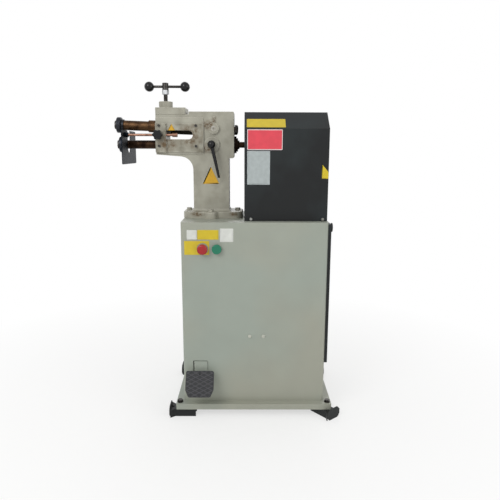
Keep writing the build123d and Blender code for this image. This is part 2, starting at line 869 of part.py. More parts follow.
side_panel_outside = cabinet_right + side_panel_proud
with BuildPart() as side_access_panel:
    block(
        (cabinet_right, side_panel_outside),
        (side_panel_front, side_panel_back),
        (side_panel_bottom, side_panel_top),
    )
    fillet(faces().sort_by(Axis.X)[-1].edges(), side_panel_fold)
    block(
        (cabinet_right, side_panel_outside - cabinet_sheet),
        (side_panel_front + cabinet_sheet, side_panel_back - cabinet_sheet),
        (side_panel_bottom + cabinet_sheet, side_panel_top - cabinet_sheet),
        Mode.SUBTRACT,
    )
    for knob_y, knob_z in panel_knob_places:
        knob_hole = facing_right(side_panel_outside, knob_y, knob_z)
        bar(knob_hole, panel_hole_diameter, -cabinet_sheet, Mode.SUBTRACT)
side_access_panel.part.label = "side_access_panel"
export_step(side_access_panel.part, "parts/side_access_panel.step")

with BuildPart() as access_panel_knobs:
    for knob_y, knob_z in panel_knob_places:
        knob_plane = facing_right(side_panel_outside, knob_y, knob_z)
        bar(knob_plane, panel_knob_stem, panel_knob_height / 3)
        bar(knob_plane.offset(panel_knob_height / 3), panel_knob_diameter, panel_knob_height * 2 / 3)
        bar(knob_plane, panel_screw_diameter, -side_panel_proud - cabinet_sheet)
        stud_end = knob_plane.offset(-side_panel_proud - cabinet_sheet)
        bar(stud_end, panel_knob_stem, -cabinet_sheet)
    knob_rims = edges().filter_by(GeomType.CIRCLE).group_by(SortBy.RADIUS)[-1]
    fillet(knob_rims, panel_knob_height / 5)
access_panel_knobs.part.label = "access_panel_knobs"
export_step(access_panel_knobs.part, "parts/access_panel_knobs.step")

switchgear_back = cabinet_inner_front + switchgear_depth
with BuildPart() as switchgear_box:
    half = switchgear_width / 2
    box_x = (switchgear_bolt_x - half, switchgear_bolt_x + half)
    box_z = (switchgear_bolt_z - half, switchgear_bolt_z + half)
    block(box_x, (cabinet_inner_front, switchgear_back), box_z)
    block(
        (box_x[0] + switchgear_sheet, box_x[1] - switchgear_sheet),
        (cabinet_inner_front + switchgear_sheet, switchgear_back),
        (box_z[0] + switchgear_sheet, box_z[1] - switchgear_sheet),
        Mode.SUBTRACT,
    )
    rail_z = (switchgear_bolt_z - switchgear_width / 4, switchgear_bolt_z - switchgear_width / 6)
    block(box_x, (cabinet_inner_front, cabinet_inner_front + switchgear_rail), rail_z)
    with BuildSketch(facing_front(cabinet_inner_front)):
        with Locations(*switchgear_bolt_places):
            Circle(panel_hole_diameter / 2)
    extrude(amount=-switchgear_sheet, mode=Mode.SUBTRACT)
switchgear_box.part.label = "switchgear_box"
export_step(switchgear_box.part, "parts/switchgear_box.step")

# ---------------------------------------------------------------- push buttons

station_back = cabinet_inner_front + station_depth
with BuildPart() as button_station:
    station_x = (stop_button_x + start_button_x) / 2
    block(
        (station_x - station_width / 2, station_x + station_width / 2),
        (cabinet_inner_front, station_back),
        (button_z - station_height / 2, button_z + station_height / 2),
        corner=3,
    )
    for button_x, _ in button_places:
        seat = facing_front(cabinet_front, button_x, button_z)
        bar(seat, button_barrel_diameter, -cabinet_sheet)
        bar(seat, button_bezel_diameter, button_bezel_height)
    chamfer(faces().group_by(Axis.Y)[0].edges(), 1)
    for button_x, _ in button_places:
        seat = facing_front(cabinet_front, button_x, button_z)
        mouth = seat.offset(button_bezel_height)
        bore = button_stem_diameter + 2 * button_stem_fit
        bar(mouth, bore, -button_bezel_height - station_depth / 2, Mode.SUBTRACT)
button_station.part.label = "button_station"
export_step(button_station.part, "parts/button_station.step")

with BuildPart() as stop_button:
    stop_plane = facing_front(cabinet_front - button_bezel_height, stop_button_x, button_z)
    bar(stop_plane.offset(stop_head_gap), stop_head_diameter, stop_head_height)
    fillet(faces().sort_by(Axis.Y)[0].edges(), stop_head_height * 0.45)
    fillet(faces().sort_by(Axis.Y)[-1].edges(), stop_head_height * 0.12)
    stem_in = station_depth / 2 - stop_travel
    bar(stop_plane.offset(-stem_in), button_stem_diameter, stem_in + stop_head_gap)
stop_button.part.label = "stop_button"
export_step(stop_button.part, "parts/stop_button.step")

with BuildPart() as start_button:
    start_plane = facing_front(cabinet_front - button_bezel_height, start_button_x, button_z)
    bar(start_plane.offset(start_head_gap), start_head_diameter, start_head_height)
    fillet(faces().sort_by(Axis.Y)[0].edges(), start_head_height * 0.4)
    stem_in = station_depth / 2 - start_travel
    bar(start_plane.offset(-stem_in), button_stem_diameter, stem_in + start_head_gap)
start_button.part.label = "start_button"
export_step(start_button.part, "parts/start_button.step")

# ---------------------------------------------------------------- foot pedal

pedal_hub_half = pedal_arm_width / 2
cheek_inside = pedal_hub_half + bracket_gap
cheek_outside = cheek_inside + bracket_sheet
bracket_back_reach = pedal_hub_diameter / 2 + bracket_sheet
bracket_floor = tray_top + bracket_sheet
bracket_front_y = cabinet_inner_front + bracket_front_gap
switch_y = pedal_pivot_y - switch_ahead
switch_x = pedal_x + pedal_arm_width / 4
pedal_spring_x = pedal_x - pedal_arm_width / 4
pedal_spring_y = pedal_pivot_y - pedal_spring_ahead
arm_under = pedal_pivot_z - pedal_arm_thickness / 2
plunger_depth = 3 * switch_ahead * sin(radians(pedal_travel_deg))
shield_front = cabinet_front - pedal_shield_front
shield_left = pedal_x - pedal_slot_width / 2 + pedal_shield_left_gap
shield_right = pedal_x + pedal_slot_width / 2 - pedal_shield_right_gap

with BuildPart() as pedal_bracket:
    block(
        (pedal_x - cheek_outside, pedal_x + cheek_outside),
        (bracket_front_y, pedal_pivot_y + bracket_back_reach),
        (tray_top, bracket_floor),
    )
    for side in (-1, 1):
        inner = pedal_x + side * cheek_inside
        outer = pedal_x + side * cheek_outside
        block(
            (min(inner, outer), max(inner, outer)),
            (pedal_pivot_y - pedal_hub_diameter, pedal_pivot_y + bracket_back_reach),
            (tray_top, pedal_pivot_z + pedal_hub_diameter / 2),
        )
    pin_bore = facing_right(pedal_x - cheek_outside, pedal_pivot_y, pedal_pivot_z)
    bar(pin_bore, pedal_pin_diameter, 2 * cheek_outside, Mode.SUBTRACT)
pedal_bracket.part.label = "pedal_bracket"
export_step(pedal_bracket.part, "parts/pedal_bracket.step")

with BuildPart() as pedal_pivot_pin:
    bar(pin_bore.offset(-pedal_pin_head), pedal_pin_diameter * 1.5, pedal_pin_head)
    bar(pin_bore, pedal_pin_diameter, 2 * cheek_outside + pedal_pin_head)
    chamfer(faces().sort_by(Axis.X)[-1].edges(), pedal_pin_chamfer)
pedal_pivot_pin.part.label = "pedal_pivot_pin"
export_step(pedal_pivot_pin.part, "parts/pedal_pivot_pin.step")

tread_rise = radians(tread_slope)
tread_plane = Plane(
    origin=(pedal_x, cabinet_front - tread_centre_out, tread_centre_z),
    x_dir=(1, 0, 0),
    z_dir=(0, -sin(tread_rise), cos(tread_rise)),
)
tread_half = tread_length / 2
tread_outline = [
    (-tread_top_width / 2, tread_half),
    (tread_top_width / 2, tread_half),
    (tread_top_width / 2, -tread_half + tread_chamfer_height),
    (tread_bottom_width / 2, -tread_half),
    (-tread_bottom_width / 2, -tread_half),
    (-tread_top_width / 2, -tread_half + tread_chamfer_height),
]

with BuildPart() as pedal_arm:
    hub_plane = facing_right(pedal_x - pedal_hub_half, pedal_pivot_y, pedal_pivot_z)
    bar(hub_plane, pedal_hub_diameter, pedal_arm_width)
    block(
        (pedal_x - pedal_hub_half, pedal_x + pedal_hub_half),
        (cabinet_front - tread_centre_out + tread_backing / 2, pedal_pivot_y),
        (arm_under, arm_under + pedal_arm_thickness),
    )
    block(
        (shield_left, shield_right),
        (shield_front, shield_front + pedal_shield_thickness),
        (pedal_slot_bottom + pedal_shield_bottom_gap, pedal_slot_top - pedal_shield_top_gap),
    )
    with BuildSketch(tread_plane.offset(-tread_backing)) as backing:
        Polygon(*tread_outline, align=None)
        fillet(vertices(), tread_corner)
    extrude(backing.sketch, amount=tread_backing)
    pin_hole = pedal_pin_diameter + 2 * pedal_pin_fit
    bar(hub_plane, pin_hole, pedal_arm_width, Mode.SUBTRACT)
pedal_arm.part.label = "pedal_arm"
export_step(pedal_arm.part, "parts/pedal_arm.step")

with BuildPart() as pedal_tread:
    with BuildSketch(tread_plane):
        Polygon(*tread_outline, align=None)
        fillet(vertices(), tread_corner)
    extrude(amount=tread_rubber)
    for direction in (-1, 1):
        with BuildSketch(tread_plane.offset(tread_rubber)):
            Polygon(*tread_outline, align=None)
            fillet(vertices(), tread_corner)
            offset(amount=-tread_rim, mode=Mode.REPLACE)
            with BuildSketch(mode=Mode.INTERSECT):
                with GridLocations(0, tread_rib_pitch, 1, tread_rib_count):
                    Rectangle(
                        2 * tread_length, tread_rib_width, rotation=direction * tread_rib_angle
                    )
        extrude(amount=tread_rib_height)
pedal_tread.part.label = "pedal_tread"
export_step(pedal_tread.part, "parts/pedal_tread.step")

with BuildPart() as pedal_spring:
    spring_foot = level(bracket_floor, pedal_spring_x, pedal_spring_y)
    spring_bore = pedal_spring_diameter - 2 * pedal_spring_wire
    bar(spring_foot, pedal_spring_diameter, arm_under - bracket_floor)
    bar(spring_foot, spring_bore, arm_under - bracket_floor, Mode.SUBTRACT)
pedal_spring.part.label = "pedal_spring"
export_step(pedal_spring.part, "parts/pedal_spring.step")

switch_top = bracket_floor + switch_body_height
with BuildPart() as foot_switch:
    block(
        (switch_x - switch_size / 2, switch_x + switch_size / 2),
        (switch_y - switch_size / 2, switch_y + switch_size / 2),
        (bracket_floor, switch_top),
        corner=2,
    )
    plunger_bore = switch_plunger_diameter + 2 * plunger_fit
    bar(level(switch_top, switch_x, switch_y), plunger_bore, -plunger_depth, Mode.SUBTRACT)
foot_switch.part.label = "foot_switch"
export_step(foot_switch.part, "parts/foot_switch.step")

with BuildPart() as switch_plunger:
    plunger_top = arm_under - plunger_gap
    plunger_foot = switch_top - plunger_depth / 2
    bar(
        level(plunger_foot, switch_x, switch_y),
        switch_plunger_diameter,
        plunger_top - plunger_foot,
    )
    fillet(faces().sort_by(Axis.Z)[-1].edges(), switch_plunger_diameter / 4)
switch_plunger.part.label = "switch_plunger"
export_step(switch_plunger.part, "parts/switch_plunger.step")

# ---------------------------------------------------------------- cast frame and its plates

slot_radius = (slot_top - slot_bottom) / 2
slot_middle = (slot_top + slot_bottom) / 2
guide_top = lower_z + guide_top_rise
guide_bottom = lower_z - guide_bottom_drop
guide_screw_z = (guide_top - guide_screw_top_in, guide_bottom + guide_screw_bottom_in)
cheek_screw_places = [(pad_left + guide_screw_inset, z) for z in guide_screw_z]
plate_screw_places = [(guide_right - plate_screw_inset, z) for z in guide_screw_z]
cover_plate_left = gear_room_left - gear_cover_margin
cover_plate_right = gear_room_right + gear_cover_margin
cover_plate_bottom = lower_z - gear_room_bottom_drop - gear_cover_margin
cover_plate_top = lower_z + gear_room_top_rise + gear_cover_margin
gear_cover_screws = [
    (x, z)
    for x in (cover_plate_left + gear_cover_margin / 2, cover_plate_right - gear_cover_margin / 2)
    for z in (
        cover_plate_bottom + gear_cover_margin / 2,
        (cover_plate_bottom + cover_plate_top) / 2,
        cover_plate_top - gear_cover_margin / 2,
    )
]
cap_screw_places = [
    (x, y)
    for x in (head_left + cap_screw_inset, cap_right - cap_screw_inset)
    for y in (head_front + cap_screw_inset, head_back - cap_screw_inset)
]
spring_places = [(spring_x, shaft_y + side * spring_off_centre) for side in (-1, 1)]
channel_half = channel_width / 2
boss_front = head_front - lever_boss_height


def side_slot(plane, depth):
    """Long slot through the head's side, cut from the plane backwards."""
    with BuildSketch(plane) as slot:
        with Locations(((slot_left + slot_right - slot_radius) / 2, slot_middle)):
            Rectangle(slot_right - slot_radius - slot_left, 2 * slot_radius)
        with Locations((slot_right - slot_radius, slot_middle)):
            Circle(slot_radius)
        fillet(vertices().group_by(Axis.X)[0], slot_corner)
    extrude(slot.sketch, amount=-depth, mode=Mode.SUBTRACT)


with BuildPart() as frame_casting:
    with BuildSketch(facing_front(head_front)):
        with BuildLine():
            Polyline(
                (head_left, lower_z - arm_tip_drop),
                (column_left, lower_z - arm_root_drop),
                (column_left, cabinet_top),
                (column_right, cabinet_top),
                (column_right, lower_z - rear_drop),
                (head_right, lower_z - rear_drop),
                (head_right, head_top),
                (front_top_end, head_top),
                (front_top_end, front_top),
                (head_left, front_top),
                close=True,
            )
        make_face()
        throat = vertices().sort_by_distance((column_left, lower_z - arm_root_drop, 0))[0]
        fillet(throat, throat_radius)
        rear_corner = vertices().sort_by_distance((head_right, lower_z - rear_drop, 0))[0]
        fillet(rear_corner, casting_corner)
        top_corner = vertices().sort_by_distance((head_right, head_top, 0))[0]
        fillet(top_corner, casting_corner / 2)
    extrude(amount=-head_depth)
    with BuildSketch(level(cabinet_top)):
        with Locations(((flange_left + flange_right) / 2, shaft_y)):
            RectangleRounded(flange_right - flange_left, flange_depth, flange_corner)
        with Locations((ear_x, shaft_y - ear_centre_out), (ear_x, shaft_y + ear_centre_out)):
            Circle(ear_radius)
        necks = vertices().filter_by_position(Axis.X, ear_x - ear_radius, ear_x + ear_radius)
        fillet(necks, casting_corner)
    extrude(amount=flange_thickness)
    upper_edges = edges().filter_by_position(Axis.Z, flange_top - 0.1, flange_top + 0.1)
    foot_edges = upper_edges.filter_by_position(
        Axis.X, column_left - 1, column_right + 1
    ).filter_by_position(Axis.Y, head_front - 1, head_back + 1)
    fillet(foot_edges, flange_fillet)
    upper_edges = edges().filter_by_position(Axis.Z, flange_top - 0.1, flange_top + 0.1)
    rim_edges = [
        edge
        for edge in upper_edges
        if abs(edge.center().Y - shaft_y) > head_depth / 2 + flange_fillet + 1
        or abs(edge.center().X - (column_left + column_right) / 2)
        > (column_right - column_left) / 2 + flange_fillet + 1
    ]
    fillet(rim_edges, flange_edge)
    block(
        (pad_left, pad_right),
        (pad_front, head_front),
        (lower_z - pad_bottom_drop, lower_z + pad_top_rise),
    )
    bar(facing_front(head_front, pivot_x, pivot_z), pivot_boss_diameter, pivot_boss_height)
    bar(facing_front(head_front, lever_x, lower_z), lever_boss_diameter, lever_boss_height)
    block(
        (pivot_x + rib_shift - rib_width / 2, pivot_x + rib_shift + rib_width / 2),
        (head_front - rib_height, head_front),
        (pivot_z, lower_z + rib_top_rise),
    )
    side_slot(facing_front(pad_front), pad_proud + head_depth)
    block(
        (head_left - 1, gear_room_left),
        (shaft_y - channel_half, shaft_y + channel_half),
        (channel_floor, lower_z + channel_top_rise),
        Mode.SUBTRACT,
    )
    block(
        (head_left - 1, mouth_end),
        (shaft_y - channel_half, shaft_y + channel_half),
        (channel_floor, front_top + 1),
        Mode.SUBTRACT,
    )
    block(
        (gear_room_left, gear_room_right),
        (shaft_y - gear_room_width / 2, head_back + 1),
        (lower_z - gear_room_bottom_drop, lower_z + gear_room_top_rise),
        Mode.SUBTRACT,
    )
    bar(across_lower(head_left), front_bush_diameter, front_bush_length, Mode.SUBTRACT)
    bar(across_lower(head_left), lower_relief_diameter, gear_room_left - head_left, Mode.SUBTRACT)
    sleeve_seat = sleeve_diameter + 2 * sleeve_fit
    sleeve_seat_length = gear_room_left - sleeve_seat_left
    bar(across_lower(sleeve_seat_left), sleeve_seat, sleeve_seat_length, Mode.SUBTRACT)
    rear_wall = head_right - gear_room_right
    bar(across_lower(gear_room_right), end_cap_spigot, rear_wall, Mode.SUBTRACT)
    rear_window = facing_right(gear_room_right, shaft_y, pivot_z - upper_hole_drop)
    bar(rear_window, upper_hole_diameter, rear_wall, Mode.SUBTRACT)
    front_pivot = facing_front(head_front - pivot_boss_height, pivot_x, pivot_z)
    bar(front_pivot, pivot_pin_diameter, head_front - pivot_boss_height - shaft_y, Mode.SUBTRACT)
    rear_pivot = facing_back(head_back, pivot_x, pivot_z)
    bar(rear_pivot, pivot_pin_diameter, shaft_y - head_back, Mode.SUBTRACT)
    lever_bore = lever_shaft_diameter + 2 * lever_shaft_fit
    bar(facing_front(boss_front, lever_x, lower_z), lever_bore, boss_front - shaft_y, Mode.SUBTRACT)
    for place in spring_places:
        bar(
            level(channel_floor, *place),
            spring_pocket_diameter,
            -spring_pocket_depth,
            Mode.SUBTRACT,
        )
    for place in hold_down_places:
        bar(level(cabinet_top, *place), bolt_hole_diameter, flange_thickness, Mode.SUBTRACT)
    for place in cap_screw_places:
        bar(level(front_top, *place), socket_screw_diameter, -screw_bite, Mode.SUBTRACT)
    for x, z in cheek_screw_places + plate_screw_places:
        screw_mouth = facing_front(pad_front, x, z)
        bar(screw_mouth, socket_screw_diameter, -screw_bite, Mode.SUBTRACT)
    for x, z in gear_cover_screws:
        bar(facing_back(head_back, x, z), socket_screw_diameter, -screw_bite, Mode.SUBTRACT)
    block(
        (column_left + column_wall, column_right - column_wall),
        (head_front + column_wall, head_back - column_wall),
        (cabinet_top, cabinet_top + column_core_height),
        Mode.SUBTRACT,
    )
frame_casting.part.label = "frame_casting"
export_step(frame_casting.part, "parts/frame_casting.step")

with BuildPart() as hold_down_bolts:
    for place in hold_down_places:
        hex_bolt(level(flange_top, *place), flange_thickness + cabinet_top_sheet)
        hex_nut(Plane(origin=(*place, cabinet_inner_top), x_dir=(1, 0, 0), z_dir=(0, 0, -1)))
hold_down_bolts.part.label = "hold_down_bolts"
export_step(hold_down_bolts.part, "parts/hold_down_bolts.step")

with BuildPart() as side_guide_plate:
    with BuildSketch(facing_front(pad_front)):
        with Locations(((pad_left + guide_right) / 2, (guide_top + guide_bottom) / 2)):
            RectangleRounded(guide_right - pad_left, guide_top - guide_bottom, guide_corner)
    extrude(amount=guide_thickness)
    block((pad_left, pad_left + cheek_width), (cheek_front, pad_front), (guide_bottom, guide_top))
    fillet(faces().sort_by(Axis.Y)[0].edges(), 1.5)
    side_slot(facing_front(cheek_front), cheek_thickness)
    gauge_bore = gauge_rod_diameter + 2 * gauge_rod_fit
    bar(facing_right(pad_left, gauge_y, gauge_z), gauge_bore, cheek_width, Mode.SUBTRACT)
    stud_bore = clamp_stud_diameter + 2 * clamp_stud_fit
    clamp_mouth = facing_front(cheek_front, clamp_knob_x, gauge_z)
    bar(clamp_mouth, stud_bore, cheek_front - gauge_y, Mode.SUBTRACT)
    for x, z in cheek_screw_places + plate_screw_places:
        bar(facing_front(cheek_front, x, z), screw_clearance, -cheek_thickness, Mode.SUBTRACT)
side_guide_plate.part.label = "side_guide_plate"
export_step(side_guide_plate.part, "parts/side_guide_plate.step")

with BuildPart() as gear_case_cover:
    with BuildSketch(facing_back(head_back)):
        middle_x = (cover_plate_left + cover_plate_right) / 2
        middle_z = (cover_plate_bottom + cover_plate_top) / 2
        with Locations((-middle_x, middle_z)):
            RectangleRounded(
                cover_plate_right - cover_plate_left, cover_plate_top - cover_plate_bottom, 6
            )
        with Locations(*[(-x, z) for x, z in gear_cover_screws]):
            Circle(screw_clearance / 2, mode=Mode.SUBTRACT)
    extrude(amount=gear_cover_thickness)
    chamfer(faces().sort_by(Axis.Y)[-1].outer_wire().edges(), 1.5)
gear_case_cover.part.label = "gear_case_cover"
export_step(gear_case_cover.part, "parts/gear_case_cover.step")

counterbore_floor = cap_top - socket_screw_head_height - 1
with BuildPart() as top_cap_block:
    block(
        (head_left, cap_right),
        (head_front - cap_side_lap, head_back + cap_side_lap),
        (front_top, cap_top),
        corner=3,
    )
    bar(level(cap_top, screw_x, shaft_y), cap_boss_diameter, cap_boss_height)
    boss_foot = edges().filter_by(GeomType.CIRCLE).filter_by_position(
        Axis.Z, cap_top - 0.1, cap_top + 0.1
    )
    fillet(boss_foot.sort_by(SortBy.RADIUS)[-1], cap_boss_fillet)
    screw_bore = screw_diameter + 2 * screw_fit
    bar(level(front_top, screw_x, shaft_y), screw_bore, boss_top - front_top, Mode.SUBTRACT)
    for place in cap_screw_places:
        bar(level(front_top, *place), screw_clearance, cap_thickness, Mode.SUBTRACT)
        bar(level(counterbore_floor, *place), counterbore_diameter, cap_thickness, Mode.SUBTRACT)
top_cap_block.part.label = "top_cap_block"
export_step(top_cap_block.part, "parts/top_cap_block.step")

with BuildPart() as head_screws:
    for x, z in cheek_screw_places:
        socket_screw(facing_front(cheek_front, x, z), cheek_thickness + screw_bite - 1)
    for x, z in plate_screw_places:
        socket_screw(facing_front(guide_front, x, z), guide_thickness + screw_bite - 1)
    for x, z in gear_cover_screws:
        cover_seat = facing_back(head_back + gear_cover_thickness, x, z)
        socket_screw(cover_seat, gear_cover_thickness + screw_bite - 1)
    for place in cap_screw_places:
        socket_screw(level(counterbore_floor, *place), counterbore_floor - front_top + screw_bite - 1)
head_screws.part.label = "head_screws"
export_step(head_screws.part, "parts/head_screws.step")

with BuildPart() as pivot_screws:
    pin_reach = arm_half_width - pivot_pin_depth
    for plane, length in (
        (front_pivot, shaft_y - pin_reach - head_front + pivot_boss_height),
        (rear_pivot, head_back - shaft_y - pin_reach),
    ):
        bar(plane, pivot_pin_diameter, -length)
        hexagon(plane, pivot_key_flats, -pivot_key_depth, Mode.SUBTRACT)
pivot_screws.part.label = "pivot_screws"
export_step(pivot_screws.part, "parts/pivot_screws.step")

running_bore = journal_diameter + 2 * journal_fit
with BuildPart() as lower_front_bush:
    bar(across_lower(head_left), front_bush_diameter, front_bush_length)
    bar(across_lower(head_left), running_bore, front_bush_length, Mode.SUBTRACT)
lower_front_bush.part.label = "lower_front_bush"
export_step(lower_front_bush.part, "parts/lower_front_bush.step")

rear_bore = rear_shaft_diameter + 2 * rear_shaft_fit
with BuildPart() as lower_end_cap:
    step_start = head_right
    for diameter, step in zip(end_cap_diameters, end_cap_steps):
        bar(across_lower(step_start), diameter, step)
        step_start += step
    bar(across_lower(head_right), end_cap_spigot, -end_cap_spigot_depth)
    bar(
        across_lower(head_right - end_cap_spigot_depth),
        rear_bore,
        end_cap_spigot_depth + sum(end_cap_steps),
        Mode.SUBTRACT,
    )
lower_end_cap.part.label = "lower_end_cap"
export_step(lower_end_cap.part, "parts/lower_end_cap.step")

# ---------------------------------------------------------------- lower shaft

pin_slot = lever_pin_diameter + 2 * lever_pin_play
sleeve_front = shaft_y - sleeve_diameter / 2
with BuildPart() as lower_sleeve:
    bar(across_lower(sleeve_left), sleeve_diameter, sleeve_right - sleeve_left)
    bar(across_lower(sleeve_left), running_bore, sleeve_right - sleeve_left, Mode.SUBTRACT)
    block(
        (lever_x - pin_slot / 2, lever_x + pin_slot / 2),
        (sleeve_front - 1, sleeve_front + lever_pin_reach + lever_pin_gap),
        (lower_z - lever_pin_throw, lower_z + lever_pin_throw + pin_slot),
        Mode.SUBTRACT,
    )
lower_sleeve.part.label = "lower_sleeve"
export_step(lower_sleeve.part, "parts/lower_sleeve.step")

lower_roll_right = lower_roll_left + roll_flange_width + roll_hub_width
upper_roll_right = upper_roll_left + roll_flange_width + roll_hub_width
shaft_head_end = head_left - head_gap
lower_hub_left = sleeve_right + side_play
lower_gear_left = gear_left - (lower_gear_width - gear_width) / 2
lower_gear_right = lower_gear_left + lower_gear_width
shoulder_left = sleeve_left - side_play - shoulder_width
lower_steps = (
    (lower_roll_left - roll_nut_width, lower_roll_right, roll_seat_diameter),
    (lower_roll_right, shaft_head_end, lower_shaft_diameter),
    (shaft_head_end, lower_hub_left, journal_diameter),
    (shoulder_left, shoulder_left + shoulder_width, shoulder_diameter),
    (lower_hub_left, lower_gear_right, gear_seat_diameter),
    (lower_gear_right, rear_shaft_end, rear_shaft_diameter),
)
with BuildPart() as lower_shaft:
    for start, end, diameter in lower_steps:
        bar(across_lower(start), diameter, end - start)
lower_shaft.part.label = "lower_shaft"
export_step(lower_shaft.part, "parts/lower_shaft.step")

with BuildPart() as lower_gear:
    lower_hub = lower_gear_left - lower_hub_left
    spur_gear(across_lower(lower_gear_left), lower_gear_width, lower_hub, gear_seat_diameter, 0)
lower_gear.part.label = "lower_gear"
export_step(lower_gear.part, "parts/lower_gear.step")

with BuildPart() as lower_roll:
    forming_roll(across_lower, lower_roll_left)
lower_roll.part.label = "lower_roll"
export_step(lower_roll.part, "parts/lower_roll.step")

with BuildPart() as lower_roll_nut:
    slotted_nut(across_lower, lower_roll_left)
lower_roll_nut.part.label = "lower_roll_nut"
export_step(lower_roll_nut.part, "parts/lower_roll_nut.step")

# ---------------------------------------------------------------- upper swing arm and shaft

arm_left = head_left + arm_recess
with BuildPart() as upper_swing_arm:
    for start, end in ((arm_left, arm_block_end), (arm_rear_block_start, arm_rear)):
        with BuildSketch(across_upper(start)) as arm_block:
            Rectangle(2 * arm_half_width, arm_height)
        extrude(arm_block.sketch, amount=end - start)
    bar(across_upper(arm_block_end), arm_tube_diameter, arm_rear_block_start - arm_block_end)
    bar(across_upper(arm_left), arm_relief_diameter, arm_rear - arm_left, Mode.SUBTRACT)
    bar(across_upper(arm_left), bush_diameter, bush_length, Mode.SUBTRACT)
    bar(across_upper(arm_rear - bush_length), bush_diameter, bush_length, Mode.SUBTRACT)
    pin_seat = pivot_pin_diameter + 2 * pivot_pin_fit
    pin_seat_depth = pivot_pin_depth + side_play
    arm_front = facing_front(shaft_y - arm_half_width, pivot_x, pivot_z)
    arm_back = facing_back(shaft_y + arm_half_width, pivot_x, pivot_z)
    bar(arm_front, pin_seat, -pin_seat_depth, Mode.SUBTRACT)
    bar(arm_back, pin_seat, -pin_seat_depth, Mode.SUBTRACT)
upper_swing_arm.part.label = "upper_swing_arm"
export_step(upper_swing_arm.part, "parts/upper_swing_arm.step")

with BuildPart() as upper_bushes:
    for start in (arm_left, arm_rear - bush_length):
        bar(across_upper(start), bush_diameter, bush_length)
        bar(across_upper(start), running_bore, bush_length, Mode.SUBTRACT)
upper_bushes.part.label = "upper_bushes"
export_step(upper_bushes.part, "parts/upper_bushes.step")

upper_hub_left = arm_rear + side_play
upper_nut_left = head_right + upper_rear_nut_gap
upper_nut_right = upper_nut_left + upper_rear_nut_width
upper_steps = (
    (upper_roll_left - roll_nut_width, upper_roll_right, roll_seat_diameter),
    (upper_roll_right, shaft_head_end, upper_shaft_diameter),
    (shaft_head_end - collar_length, shaft_head_end, collar_diameter),
    (shaft_head_end, upper_hub_left, journal_diameter),
    (upper_hub_left, head_right, gear_seat_diameter),
    (head_right, upper_nut_right + 1, upper_rear_thread),
)
with BuildPart() as upper_shaft:
    for start, end, diameter in upper_steps:
        bar(across_upper(start), diameter, end - start)
upper_shaft.part.label = "upper_shaft"
export_step(upper_shaft.part, "parts/upper_shaft.step")

half_tooth_turn = 180 / gear_teeth
with BuildPart() as upper_gear:
    upper_hub = gear_left - upper_hub_left
    spur_gear(across_upper(gear_left), gear_width, upper_hub, gear_seat_diameter, half_tooth_turn)
upper_gear.part.label = "upper_gear"
export_step(upper_gear.part, "parts/upper_gear.step")

with BuildPart() as upper_roll:
    forming_roll(across_upper, upper_roll_left)
upper_roll.part.label = "upper_roll"
export_step(upper_roll.part, "parts/upper_roll.step")

with BuildPart() as upper_roll_nut:
    slotted_nut(across_upper, upper_roll_left)
upper_roll_nut.part.label = "upper_roll_nut"
export_step(upper_roll_nut.part, "parts/upper_roll_nut.step")

with BuildPart() as upper_rear_nut:
    bar(across_upper(upper_nut_left), upper_rear_nut_diameter, upper_rear_nut_width)
    chamfer(faces().sort_by(Axis.X)[-1].edges(), upper_rear_nut_width / 3)
    bar(across_upper(upper_nut_left), upper_rear_thread, upper_rear_nut_width, Mode.SUBTRACT)
upper_rear_nut.part.label = "upper_rear_nut"
export_step(upper_rear_nut.part, "parts/upper_rear_nut.step")

with BuildPart() as lift_springs:
    spring_foot_z = channel_floor - spring_pocket_depth
    arm_foot_z = pivot_z - arm_height / 2 + (pivot_x - spring_x - spring_diameter) * sin(
        radians(open_angle)
    )
    for place in spring_places:
        spring_seat = level(spring_foot_z, *place)
        spring_inside = spring_diameter - 2 * spring_wire
        bar(spring_seat, spring_diameter, arm_foot_z - spring_foot_z)
        bar(spring_seat, spring_inside, arm_foot_z - spring_foot_z, Mode.SUBTRACT)
lift_springs.part.label = "lift_springs"
export_step(lift_springs.part, "parts/lift_springs.step")

# ---------------------------------------------------------------- press screw

arm_rise = pivot_z + arm_height / 2 * cos(radians(open_angle))
arm_top_z = arm_rise + (screw_arm + arm_height / 2 * sin(radians(open_angle))) * tan(
    radians(open_angle)
)
pad_foot = arm_top_z - pad_dome_radius + (pad_dome_radius + pad_gap) / cos(radians(open_angle))
pad_top = pad_foot + pad_thickness
screw_foot = pad_top + pad_gap
nut_foot = boss_top + screw_exposed
hub_foot = nut_foot + screw_nut_height
tee_z = hub_foot + tee_bar_height
tee_x = screw_x + tee_bar_shift

with BuildPart() as thrust_pad:
    bar(level(pad_foot, screw_x, shaft_y), pad_diameter, pad_thickness)
    with Locations((screw_x, shaft_y, pad_foot + pad_dome_radius)):
        Sphere(pad_dome_radius, mode=Mode.INTERSECT)
    pocket = screw_tip_diameter + 2 * pad_tip_fit
    bar(level(pad_top, screw_x, shaft_y), pocket, -screw_tip_length, Mode.SUBTRACT)
thrust_pad.part.label = "thrust_pad"
export_step(thrust_pad.part, "parts/thrust_pad.step")

with BuildPart() as adjusting_screw:
    bar(level(screw_foot, screw_x, shaft_y), screw_diameter, hub_foot - screw_foot)
    bar(level(screw_foot, screw_x, shaft_y), screw_tip_diameter, pad_gap * 2 - screw_tip_length)
    bar(level(hub_foot, screw_x, shaft_y), screw_hub_diameter, screw_hub_height)
    chamfer(faces().sort_by(Axis.Z)[-1].edges(), 1.5)
    cross_hole = facing_right(screw_x - screw_hub_diameter, shaft_y, tee_z)
    cross_bore = tee_bar_diameter + 2 * tee_bar_fit
    bar(cross_hole, cross_bore, 2 * screw_hub_diameter, Mode.SUBTRACT)
adjusting_screw.part.label = "adjusting_screw"
export_step(adjusting_screw.part, "parts/adjusting_screw.step")

